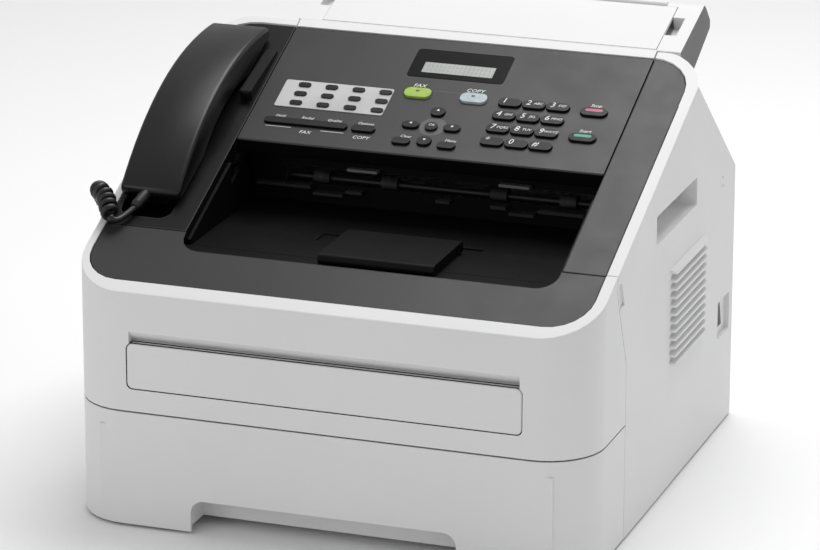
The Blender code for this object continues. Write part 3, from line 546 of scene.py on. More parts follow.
class Bench:
    """Modelling steps as by hand, each on one object."""

    @staticmethod
    def pick(obj: bpy.types.Object) -> None:
        """Leave edit mode, and make one object the only selected and the active one."""
        if bpy.context.object and bpy.context.object.mode == "EDIT":
            bpy.ops.object.mode_set(mode="OBJECT")
        bpy.ops.object.select_all(action="DESELECT")
        obj.select_set(True)
        bpy.context.view_layer.objects.active = obj

    @staticmethod
    def named(name: str, place: Matrix | None = None) -> bpy.types.Object:
        """Name the primitive just added and put its place into its mesh."""
        obj = bpy.context.object
        obj.name = name
        obj.data.name = name
        Bench.pick(obj)
        bpy.ops.object.transform_apply(location=True, rotation=True, scale=True)
        if place is not None:
            obj.matrix_world = place
            bpy.ops.object.transform_apply(location=True, rotation=True, scale=True)
        return obj

    @staticmethod
    def block(name: str, low: Point, high: Point, place: Matrix | None = None) -> bpy.types.Object:
        """Add a block.

        Args:
            name: The piece's name.
            low: Its lowest corner.
            high: Its highest corner.
            place: Where its own axes lie, or None.

        Returns:
            The block, ready to be shaped.
        """
        bpy.ops.object.select_all(action="DESELECT")
        middle = [(a + b) / 2 for a, b in zip(low, high)]
        bpy.ops.mesh.primitive_cube_add(size=1.0, location=middle)
        bpy.context.object.scale = [b - a for a, b in zip(low, high)]
        return Bench.named(name, place)

    @staticmethod
    def drum(
        name: str,
        centre: Point,
        radius: float,
        length: float,
        turn: Point = (0.0, 0.0, 0.0),
        sides: int = 32,
        place: Matrix | None = None,
    ) -> bpy.types.Object:
        """Add a round bar.

        Args:
            name: The piece's name.
            centre: Its middle.
            radius: Its radius.
            length: Its length.
            turn: Turn of its axis from Z.
            sides: Number of sides.
            place: Where its own axes lie, or None.

        Returns:
            The bar, ready to be shaped.
        """
        bpy.ops.object.select_all(action="DESELECT")
        bpy.ops.mesh.primitive_cylinder_add(
            vertices=sides, radius=radius, depth=length, location=centre, rotation=turn
        )
        return Bench.named(name, place)

    @staticmethod
    def select(obj: bpy.types.Object, kind: Element, test: Test) -> None:
        """Select in edit mode by place.

        Args:
            obj: The piece.
            kind: Vertices, edges or faces.
            test: Takes an element's middle and its normal or direction.
        """
        Bench.pick(obj)
        bpy.ops.object.mode_set(mode="EDIT")
        bpy.ops.mesh.select_mode(type=kind.value)
        bpy.ops.mesh.select_all(action="DESELECT")
        work = bmesh.from_edit_mesh(obj.data)
        if kind is Element.FACES:
            for face in work.faces:
                face.select_set(test(face.calc_center_median(), face.normal))
        elif kind is Element.EDGES:
            for edge in work.edges:
                ends = [v.co for v in edge.verts]
                edge.select_set(test((ends[0] + ends[1]) / 2, (ends[1] - ends[0]).normalized()))
        else:
            for vert in work.verts:
                vert.select_set(test(vert.co, vert.normal))
        bmesh.update_edit_mesh(obj.data)

    @staticmethod
    def round_edges(obj: bpy.types.Object, test: Test, width: float, segments: int) -> None:
        """Bevel the edges that a test picks."""
        Bench.select(obj, Element.EDGES, test)
        bpy.ops.mesh.bevel(offset=width, segments=segments, affect="EDGES")
        bpy.ops.object.mode_set(mode="OBJECT")

    @staticmethod
    def sink(obj: bpy.types.Object, test: Test, thickness: float, depth: float) -> None:
        """Inset the faces that a test picks and push the inset in."""
        Bench.select(obj, Element.FACES, test)
        bpy.ops.mesh.inset(thickness=thickness, depth=-depth)
        bpy.ops.object.mode_set(mode="OBJECT")

    @staticmethod
    def nudge(obj: bpy.types.Object, test: Test, move: Point) -> None:
        """Move the corners that a test picks."""
        Bench.select(obj, Element.VERTS, test)
        bpy.ops.transform.translate(value=move)
        bpy.ops.object.mode_set(mode="OBJECT")

    @staticmethod
    def modify(obj: bpy.types.Object, kind: str, **settings: object) -> None:
        """Add a modifier with its settings and apply it."""
        Bench.pick(obj)
        step = obj.modifiers.new(kind.lower(), kind)
        for key, value in settings.items():
            setattr(step, key, value)
        bpy.ops.object.modifier_apply(modifier=step.name)

    @staticmethod
    def smooth(obj: bpy.types.Object, angle: float = 35.0) -> bpy.types.Object:
        """Shade smooth up to an angle in degrees."""
        Bench.pick(obj)
        bpy.ops.object.shade_smooth_by_angle(angle=math.radians(angle))
        return obj

    @staticmethod
    def clear_edges(obj: bpy.types.Object, room: float, angle: float) -> list[int]:
        """Sharp edges that have room beside them for a bevel.

        Args:
            obj: The piece.
            room: How far away other sharp edges have to be.
            angle: What counts as sharp, in degrees.

        Returns:
            The edges' indices.
        """
        work = bmesh.new()
        work.from_mesh(obj.data)
        sharp = [
            edge
            for edge in work.edges
            if len(edge.link_faces) == 2
            and edge.calc_face_angle(0.0) > math.radians(angle)
            and edge.calc_length() > room * 0.4
        ]
        samples = []
        for edge in sharp:
            ends = [v.co for v in edge.verts]
            count = max(2, math.ceil(edge.calc_length() / (room * 0.5)))
            for k in range(count + 1):
                samples.append((ends[0].lerp(ends[1], k / count), edge))
        tree = kdtree.KDTree(len(samples))
        for k, (at, _) in enumerate(samples):
            tree.insert(at, k)
        tree.balance()
        crowded = set()
        for at, edge in samples:
            ends = set(edge.verts)
            for _, k, _ in tree.find_range(at, room):
                other = samples[k][1]
                if other is not edge and not ends & set(other.verts):
                    crowded.add(edge.index)
                    break
        clear = [edge.index for edge in sharp if edge.index not in crowded]
        work.free()
        return clear

    @staticmethod
    def soften(
        obj: bpy.types.Object, width: float, segments: int = 2, angle: float = 32.0
    ) -> bpy.types.Object:
        """Round the sharp edges that have room for it and even out the shading.

        Args:
            obj: The piece.
            width: Width of the rounding.
            segments: Steps across it.
            angle: What counts as sharp, in degrees.

        Returns:
            The piece.
        """
        Bench.pick(obj)
        chosen = Bench.clear_edges(obj, width * 2.2, angle)
        if chosen:
            weights = obj.data.attributes.new("bevel_weight_edge", "FLOAT", "EDGE")
            values = np.zeros(len(obj.data.edges), np.float32)
            values[chosen] = 1.0
            weights.data.foreach_set("value", values)
            Bench.modify(
                obj,
                "BEVEL",
                width=width,
                segments=segments,
                limit_method="WEIGHT",
                use_clamp_overlap=True,
            )
        Bench.smooth(obj, 40.0)
        Bench.modify(obj, "WEIGHTED_NORMAL", keep_sharp=True, weight=100)
        return obj

    @staticmethod
    def copy_node(node: str, name: str) -> bpy.types.Object:
        """A node's own form as a new piece with merged, flat faces."""
        mesh = frame["nodes"][node].data.copy()
        obj = bpy.data.objects.new(name, mesh)
        bpy.context.scene.collection.objects.link(obj)
        mesh.materials.clear()
        Bench.pick(obj)
        if mesh.has_custom_normals:
            bpy.ops.mesh.customdata_custom_splitnormals_clear()
        bpy.ops.object.mode_set(mode="EDIT")
        bpy.ops.mesh.select_mode(type="FACE")
        bpy.ops.mesh.select_all(action="SELECT")
        bpy.ops.mesh.remove_doubles(threshold=0.00002)
        bpy.ops.mesh.dissolve_degenerate(threshold=0.00002)
        bpy.ops.mesh.dissolve_limited(angle_limit=math.radians(0.6))
        bpy.ops.mesh.normals_make_consistent(inside=False)
        bpy.ops.object.mode_set(mode="OBJECT")
        return obj

    @staticmethod
    def join(name: str, pieces: Sequence[bpy.types.Object]) -> bpy.types.Object:
        """Join pieces into one mesh, the first one's name replaced."""
        bpy.ops.object.select_all(action="DESELECT")
        for obj in pieces:
            obj.select_set(True)
        bpy.context.view_layer.objects.active = pieces[0]
        if len(pieces) > 1:
            bpy.ops.object.join()
        pieces[0].name = name
        pieces[0].data.name = name
        return pieces[0]

    @staticmethod
    def duplicate(obj: bpy.types.Object, name: str, move: Matrix) -> bpy.types.Object:
        """A copy with its own mesh, moved."""
        made = obj.copy()
        made.data = obj.data.copy()
        made.name = name
        bpy.context.scene.collection.objects.link(made)
        made.data.transform(move)
        return made

    @staticmethod
    def lettering(words: str, size: float, place: Matrix) -> bpy.types.Object:
        """Thin raised slanted letters of a size, centred on a place and in its plane."""
        bpy.ops.object.select_all(action="DESELECT")
        bpy.ops.object.text_add(location=(0.0, 0.0, 0.0))
        text = bpy.context.object
        text.data.body = words
        text.data.size = size
        text.data.extrude = 0.00003
        text.data.shear = 0.18
        text.data.resolution_u = 2
        text.data.align_x = "CENTER"
        text.data.align_y = "CENTER"
        bpy.ops.object.convert(target="MESH")
        return Bench.named("lettering", place)


def dress(obj: bpy.types.Object, *names: str) -> bpy.types.Object:
    """Give a piece its finishes, one slot each."""
    obj.data.materials.clear()
    for name in names:
        obj.data.materials.append(finish(name))
    return obj


def paint(obj: bpy.types.Object, slot: int, test: Test) -> None:
    """Put faces in a material slot by their middle and normal."""
    for face in obj.data.polygons:
        if test(face.center, face.normal):
            face.material_index = slot


def stand_for(obj: bpy.types.Object, node: str) -> bpy.types.Object:
    """Let a piece replace a node and ride on its body."""
    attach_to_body(obj, BODY_OF[node])
    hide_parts(node)
    return obj


def attach(obj: bpy.types.Object, node: str) -> bpy.types.Object:
    """Let an extra piece ride with a node."""
    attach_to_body(obj, BODY_OF[node])
    return obj


def shell(
    node: str, width: float, *names: str, segments: int = 2, marks: Sequence[tuple[int, Test]] = ()
) -> bpy.types.Object:
    """A node's form with softened corners, dressed and standing for the node.

    Args:
        node: The node.
        width: Width of its softened corners.
        *names: Its finishes; its slot's own finish if none is given.
        segments: Steps across each softened corner.
        marks: Which of its finishes goes on the faces that a test picks, in order.

    Returns:
        The piece.
    """
    obj = Bench.soften(Bench.copy_node(node, node + "_skin"), width, segments)
    dress(obj, *(names or (SLOT_OF[node],)))
    for slot, test in marks:
        paint(obj, slot, test)
    return stand_for(obj, node)


# ------------------------------------------------------------------ studio
@dataclass
class Studio:
    """Camera, floor and soft light."""

    position: Point = (0.94578, -2.71167, 1.06604)
    right: Point = (0.942207, 0.335030, 0.000134)
    up: Point = (-0.099911, 0.280598, 0.954611)
    back: Point = (0.319786, -0.899455, 0.297855)
    lens: float = 190.74
    shift: tuple[float, float] = (0.02874, -0.0511)

    def build(self) -> None:
        """Set up everything round the object."""
        self.camera()
        self.floor()
        self.lights()

    def camera(self) -> None:
        """Make the camera and put it in its place."""
        data = bpy.data.cameras.new("camera")
        data.sensor_width = 36.0
        data.lens = self.lens
        data.shift_x, data.shift_y = self.shift
        data.clip_end = 50.0
        camera = bpy.data.objects.new("camera", data)
        bpy.context.scene.collection.objects.link(camera)
        turn = Matrix((self.right, self.up, self.back)).transposed().to_4x4()
        camera.matrix_world = Matrix.Translation(self.position) @ turn
        bpy.context.scene.camera = camera
        bpy.context.scene.view_settings.view_transform = "Standard"

    def floor(self) -> None:
        """Lay a plain pale floor."""
        bpy.ops.object.select_all(action="DESELECT")
        bpy.ops.mesh.primitive_plane_add(size=14.0, location=(0.0, 0.0, 0.0))
        floor = Bench.named("floor")
        mix = Shader("floor_paper")
        cloud = mix.noise(3.0, 2.0).remap(0.3, 0.7)
        mix.surface(
            Base_Color=mix.blend(cloud, (0.93, 0.93, 0.93), (0.94, 0.94, 0.94)), Roughness=0.9
        )
        floor.data.materials.append(mix.material)

    def lights(self) -> None:
        """Hang the soft boxes and set the room light."""
        world = bpy.data.worlds.new("room")
        bpy.context.scene.world = world
        world.use_nodes = True
        room = world.node_tree.nodes["Background"]
        room.inputs["Color"].default_value = (1.0, 1.0, 1.0, 1.0)
        room.inputs["Strength"].default_value = 0.50
        self.soft_box("top_box", (0.10, 0.55, 1.50), (0.05, 0.15, 0.20), 1.0, 11.0)
        self.soft_box("wide_box", (0.45, 1.2, 4.0), (0.2, 0.4, 0.0), 3.2, 42.0)
        self.soft_box("front_box", (-1.6, -2.6, 1.0), (0.0, 0.0, 0.12), 1.4, 8.0)

    @staticmethod
    def soft_box(name: str, place: Point, aim: Point, size: float, power: float) -> None:
        """Hang one square soft box.

        Args:
            name: Its name.
            place: Where it hangs.
            aim: What it points at.
            size: Its side.
            power: Its power in watts.
        """
        data = bpy.data.lights.new(name, "AREA")
        data.size = size
        data.energy = power
        lamp = bpy.data.objects.new(name, data)
        bpy.context.scene.collection.objects.link(lamp)
        lamp.location = place
        lamp.rotation_euler = (Vector(aim) - Vector(place)).to_track_quat("-Z", "Y").to_euler()


# ------------------------------------------------------------------ handset cord
def spread(line: Sequence[Vector], steps: Callable[[float], int]) -> list[Vector]:
    """Even points on a line of points.

    Args:
        line: Points close together.
        steps: Gives the number of steps for the line's length.

    Returns:
        The points, one more than the steps.
    """
    along = [0.0]
    for a, b in zip(line, line[1:]):
        along.append(along[-1] + (b - a).length)
    marks = np.linspace(0.0, along[-1], steps(along[-1]) + 1)
    columns = [np.interp(marks, along, [p[i] for p in line]) for i in range(3)]
    return [Vector(p) for p in zip(*columns)]


def smooth_route(knots: Sequence[Sequence[float]], spacing: float) -> list[Vector]:
    """Even points on a smooth curve through knots.

    Args:
        knots: Points the curve goes through.
        spacing: Distance between the points returned.

    Returns:
        The points.
    """
    given = [Vector(k) for k in knots]
    ends = [given[0] * 2 - given[1]] + given + [given[-1] * 2 - given[-2]]
    fine = []
    for a, b, c, d in zip(ends, ends[1:], ends[2:], ends[3:]):
        slope = c - a
        bend = 2 * a - 5 * b + 4 * c - d
        twist = 3 * b - a - 3 * c + d
        for k in range(24):
            t = k / 24
            fine.append(0.5 * (2 * b + slope * t + bend * t * t + twist * t * t * t))
    fine.append(given[-1])
    return spread(fine, lambda length: max(2, round(length / spacing)))


@dataclass
class HandsetCord:
    """The curly cord from the handset to its socket, with its sleeve and plug."""

    wire: float = 0.0045
    coil: float = 0.0136
    pitch: float = 0.0062
    steps_per_turn: int = 16
    tail_start: tuple[Point, ...] = ((-0.1608, -0.1048, 0.0037), (-0.1609, -0.1085, 0.0037))
    tail: tuple[Point, ...] = (
        (-0.1635, -0.1075, 0.2012),
        (-0.1665, -0.1150, 0.1985),
        (-0.1692, -0.1215, 0.1972),
        (-0.1725, -0.1242, 0.1988),
    )
    loops: tuple[Point, ...] = (
        (-0.1765, -0.1178, 0.2030),
        (-0.1834, -0.1062, 0.2075),
        (-0.1925, -0.0960, 0.2090),
        (-0.1965, -0.0800, 0.1990),
        (-0.1975, -0.0600, 0.1780),
        (-0.1975, -0.0400, 0.1400),
        (-0.1975, -0.0250, 0.0950),
        (-0.1975, -0.0050, 0.0500),
        (-0.1990, 0.0200, 0.0260),
        (-0.2010, 0.0480, 0.0300),
    )
    far_tail: tuple[Point, ...] = (
        (-0.2022, 0.0565, 0.0350),
        (-0.2015, 0.0635, 0.0470),
        (-0.1975, 0.0655, 0.0560),
        (-0.1940, 0.0655, 0.0579),
        (-0.1904, 0.0655, 0.0580),
    )

    def build(self) -> None:
        line = self.centreline()
        length = sum((b - a).length for a, b in zip(line, line[1:]))
        curve = bpy.data.curves.new("curly_cord", "CURVE")
        curve.dimensions = "3D"
        curve.bevel_depth = self.wire / 2
        curve.bevel_resolution = 2
        curve.use_fill_caps = True
        spline = curve.splines.new("POLY")
        spline.points.add(len(line) - 1)
        for spot, at in zip(spline.points, line):
            spot.co = (*at, 1.0)
        spline.use_smooth = True
        cord = bpy.data.objects.new("curly_cord", curve)
        bpy.context.scene.collection.objects.link(cord)
        curve.materials.append(finish("cord_black"))
        stand_for(cord, "handset_cord")
        plug = self.plug()
        sleeve = self.sleeve(line[0], line[3] - line[0])
        LOG.info("cord %.3f m long in %d points", length, len(line))

    def centreline(self) -> list[Vector]:
        """The wire's own line: a tail, the turns of the coil, a tail."""
        start = smooth_route([*(DECK @ Vector(p) for p in self.tail_start), *self.tail], 0.0035)
        end = smooth_route(self.far_tail, 0.0040)
        route = smooth_route([start[-1], *self.loops, end[0]], 0.0010)
        spine = spread(route, lambda length: round(length / self.pitch) * self.steps_per_turn)
        count = len(spine) - 1
        side = Vector((0.0, 0.0, 1.0))
        reach = (self.coil - self.wire) / 2
        turned = []
        for k, at in enumerate(spine):
            ahead = (spine[min(k + 1, count)] - spine[max(k - 1, 0)]).normalized()
            side = (side - ahead * side.dot(ahead)).normalized()
            other = ahead.cross(side)
            angle = 2 * math.pi * k / self.steps_per_turn
            ease = min(1.0, min(k, count - k) / (self.steps_per_turn * 0.9))
            ease = ease * ease * (3 - 2 * ease)
            turned.append(at + (side * math.cos(angle) + other * math.sin(angle)) * reach * ease)
        return start[:-1] + turned + end[1:]

    def sleeve(self, exit_at: Vector, ahead: Vector) -> bpy.types.Object:
        """The tapered ribbed sleeve where the cord leaves the handset."""
        turn = ahead.to_track_quat("Z", "Y").to_matrix().to_4x4()
        radius = 0.0042
        obj = Bench.drum("cord_sleeve", (0.0, 0.0, 0.0), radius, 0.0100, sides=24)
        Bench.select(obj, Element.FACES, lambda at, normal: normal.z > 0.9)
        for shrink in (0.0003, -0.0002, 0.0003):
            bpy.ops.mesh.extrude_region_move(TRANSFORM_OT_translate={"value": (0, 0, 0.0012)})
            bpy.ops.transform.resize(value=(1 - shrink / radius,) * 2 + (1.0,))
        bpy.ops.mesh.extrude_region_move(TRANSFORM_OT_translate={"value": (0, 0, 0.0030)})
        bpy.ops.transform.resize(value=(0.80, 0.80, 1.0))
        bpy.ops.object.mode_set(mode="OBJECT")
        obj.data.transform(Matrix.Translation(exit_at - ahead.normalized() * 0.0030) @ turn)
        Bench.soften(obj, 0.0003)
        dress(obj, "cord_black")
        return attach(obj, "handset_cord")

    def plug(self) -> bpy.types.Object:
        """The small plug in its socket, with its latch and contact slots."""
        low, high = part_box("handset_plug")
        body = Bench.block("handset_plug_skin", tuple(low), tuple(high))
        Bench.sink(body, lambda at, normal: normal.x < -0.9, 0.0018, -0.0004)
        Bench.round_edges(body, lambda at, along: at.x < low.x + 0.001, 0.0005, 2)
        latch = Bench.block(
            "latch",
            (low.x - 0.0015, low.y + 0.0035, high.z - 0.0004),
            (high.x - 0.0040, high.y - 0.0035, high.z + 0.0006),
        )
        Bench.nudge(latch, lambda at, normal: at.x < low.x and at.z > high.z, (0, 0, 0.0010))
        plug = Bench.join("handset_plug_skin", [body, latch])
        Bench.soften(plug, 0.0003)
        dress(plug, "black_plastic")
        return stand_for(plug, "handset_plug")


# ------------------------------------------------------------------ casing
def near(box: tuple[Vector, Vector], spare: Point) -> Callable[[Vector], bool]:
    """A test for points in a box made wider.

    Args:
        box: Its lowest and highest corners.
        spare: How much wider it is made on each axis.

    Returns:
        The test.
    """
    low, high = box
    return lambda at: all(a - w < b < c + w for a, b, c, w in zip(low, at, high, spare))


@dataclass
class Casing:
    """White shells, dark bezels and the side louvres."""

    white: Sizes = (
        ("side_panel_left", 0.0006),
        ("rear_panel", 0.0006),
        ("rear_cover", 0.0004),
        ("panel_trim", 0.0003),
    )
    dark: Sizes = (
        ("front_bezel", 0.0003),
        ("bezel_right", 0.0003),
        ("bezel_left", 0.0003),
    )
    slat_count: int = 11
    slat_pitch: float = 0.0060
    slat_span: Span = (0.0095, 0.0955)
    slat_low: float = 0.0900
    slat_proud: float = 0.0038

    def build(self) -> None:
        """Make every shell and the small details on the sides."""
        for node, width in self.white:
            shell(node, width)
        for node, width in self.dark:
            self.bordered(node, width)
        self.cradle_lip()
        self.front()
        self.right_side()
        for sign, name in ((1, "right"), (-1, "left")):
            self.louvres(name, sign)
        self.dimples()
        self.rocker()

    @staticmethod
    def rocker() -> None:
        """The black power rocker, its pressed half a little fuller than the plain part."""
        obj = Bench.copy_node("power_switch", "power_switch_skin")
        low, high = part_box("power_switch")
        for level, push in ((high.z - 0.001, 0.0014), ((low.z + high.z) / 2 - 0.001, 0.0006)):
            Bench.nudge(
                obj,
                lambda at, normal: at.x > low.x + 0.001 and 0 < at.z - level < 0.002,
                (push, 0.0, 0.0),
            )
        Bench.soften(obj, 0.0004)
        dress(obj, "black_plastic")
        stand_for(obj, "power_switch")

    @staticmethod
    def right_side() -> None:
        """The right side panel, with painted shade in near black on the walls of the hole round the power
        rocker.
        """
        beside = near(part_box("power_switch"), (1.0, 0.0012, 0.0025))
        # Painted shade: the walls of the hole round the rocker take near black.
        hole = (1, lambda at, normal: beside(at) and abs(normal.x) < 0.9)
        shell("side_panel_right", 0.0006, "white_shell", "seam_shade_black", marks=[hole])

    @staticmethod
    def front() -> None:
        """The front cover and the slot cover in it, with painted shade in near black on the seam walls
        round both and under the cover above the cassette.
        """
        beside = near(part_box("manual_slot_cover"), (0.002, 1.0, 0.002))
        # Painted shade: the walls round the slot cover and the underside above the cassette take near
        # black.
        rim = (1, lambda at, normal: beside(at) and abs(normal.y) < 0.5)
        foot = (1, lambda at, normal: normal.z < -0.8 and at.z < 0.088)
        shell("front_cover", 0.0006, "white_shell", "seam_shade_black", marks=[rim, foot])
        # Painted shade: the slot cover's edge faces take near black for the gap round it.
        edge = (1, lambda at, normal: abs(normal.y) < 0.5)
        shell("manual_slot_cover", 0.0005, "white_shell", "seam_shade_black", marks=[edge])

    @staticmethod
    def bordered(node: str, width: float) -> None:
        """A dark bezel whose top has a fine near-black border of painted shade for the gap at the rim,
        and painted shade in its sunk faces.

        Args:
            node: The bezel's node.
            width: Width of its softened corners.
        """
        obj = Bench.copy_node(node, node + "_skin")
        up = DECK.to_3x3() @ Vector((0.0, 0.0, 1.0))

        def on_top(at: Vector, normal: Vector) -> bool:
            """Whether a face lies in the bezel's top."""
            return normal.dot(up) > 0.999 and abs((TO_DECK @ at).z + 0.0008) < 0.0002

        # Painted shade: the left bezel takes the darker cradle copy of the bezel plastic.
        base = "cradle_shade_black" if node == "bezel_left" else "charcoal_panel"
        dress(obj, base, "seam_shade_black", "recess_shade_black")
        # Painted shade: faces sunk below the top, such as the cradle well, take near black.
        paint(obj, 2, lambda at, normal: (TO_DECK @ at).z < -0.0014)
        # Painted shade: the whole top takes near black, then its inset middle goes back to the bezel
        # plastic, leaving a 0.8 mm border for the gap at the rim.
        paint(obj, 1, on_top)
        Bench.select(obj, Element.FACES, on_top)
        bpy.ops.mesh.inset(thickness=0.0008, depth=0.0)
        obj.active_material_index = 0
        bpy.ops.object.material_slot_assign()
        Bench.soften(obj, width)
        stand_for(obj, node)

    @staticmethod
    def cradle_lip() -> None:
        """The raised lip beside the receiver that keeps its upper end in place."""
        lip = Bench.block("cradle_lip", (-0.1318, 0.0150, -0.0010), (-0.1235, 0.0720, 0.0074), DECK)

        def far_top(at: Vector, normal: Vector) -> bool:
            """Whether a corner is on top at the lip's far end."""
            return (TO_DECK @ at).y > 0.07 and (TO_DECK @ at).z > 0

        def near_top(at: Vector, along: Vector) -> bool:
            """Whether an edge is on top at the lip's near end."""
            return (TO_DECK @ at).y < 0.016 and (TO_DECK @ at).z > 0.001

        Bench.nudge(lip, far_top, DECK.to_3x3() @ Vector((0.0, 0.0, -0.0062)))
        Bench.round_edges(lip, near_top, 0.0032, 5)
        Bench.soften(lip, 0.0005, 3)
        # Painted shade: the lip takes the darker cradle copy of the bezel plastic.
        dress(lip, "cradle_shade_black")
        attach(lip, "bezel_left")

    def slat(self, low: float, thickness: float, lift: float) -> bpy.types.Object:
        """One slat with a sloping top and rounded front corners.

        Args:
            low: Height of its underside.
            thickness: Its thickness at the outer edge.
            lift: How much higher its inner edge is.

        Returns:
            The slat.
        """
        front, back = self.slat_span
        outer = HALF_WIDTH + self.slat_proud
        slat = Bench.block(
            "slat", (HALF_WIDTH - 0.0030, front, low), (outer, back, low + thickness)
        )
        Bench.nudge(slat, lambda at, normal: at.x < HALF_WIDTH, (0.0, 0.0, lift))
        Bench.round_edges(
            slat, lambda at, along: at.x > HALF_WIDTH + 0.001 and abs(along.z) > 0.9, 0.0050, 5
        )
        return Bench.soften(slat, 0.0003, 2, 45.0)

    def louvres(self, name: str, sign: int) -> None:
        """Hooded slats over the vent slots of one side.

        Args:
            name: Which side.
            sign: Its direction along X.
        """
        slats = [self.slat(self.slat_low, 0.0016, 0.0030)]
        for k in range(1, self.slat_count):
            step = Matrix.Translation((0.0, 0.0, self.slat_pitch * k))
            slats.append(Bench.duplicate(slats[0], "slat", step))
        slats.append(self.slat(self.slat_low + self.slat_pitch * self.slat_count, 0.0020, 0.0042))
        grille = Bench.join("louvres_" + name, slats)
        if sign < 0:
            Bench.pick(grille)
            grille.data.transform(Matrix.Diagonal((-1.0, 1.0, 1.0, 1.0)))
            bpy.ops.object.mode_set(mode="EDIT")
            bpy.ops.mesh.select_all(action="SELECT")
            bpy.ops.mesh.normals_make_consistent(inside=False)
            bpy.ops.object.mode_set(mode="OBJECT")
        dress(grille, "white_shell")
        attach(grille, "side_panel_" + name)

    @staticmethod
    def dimples() -> None:
        """Two small blind holes high on the right side, their sunk discs dark charcoal as painted shade
        for the inside of the holes.
        """
        made = []
        for z in (0.1890, 0.1830):
            dot = Bench.drum(
                "dimple", (HALF_WIDTH - 0.0002, 0.1410, z), 0.0009, 0.0006, (0, math.pi / 2, 0), 20
            )
            Bench.sink(dot, lambda at, normal: normal.x > 0.9, 0.0002, 0.0003)
            made.append(Bench.smooth(dot))
        dimples = Bench.join("side_dimples", made)
        # Painted shade: the discs take dark charcoal for the shade in the holes.
        dress(dimples, "charcoal_panel")
        attach(dimples, "side_panel_right")


# ------------------------------------------------------------------ control panel
class Ink(Enum):
    """Which print a mark on the panel takes."""

    WHITE = 0
    GREY = 1


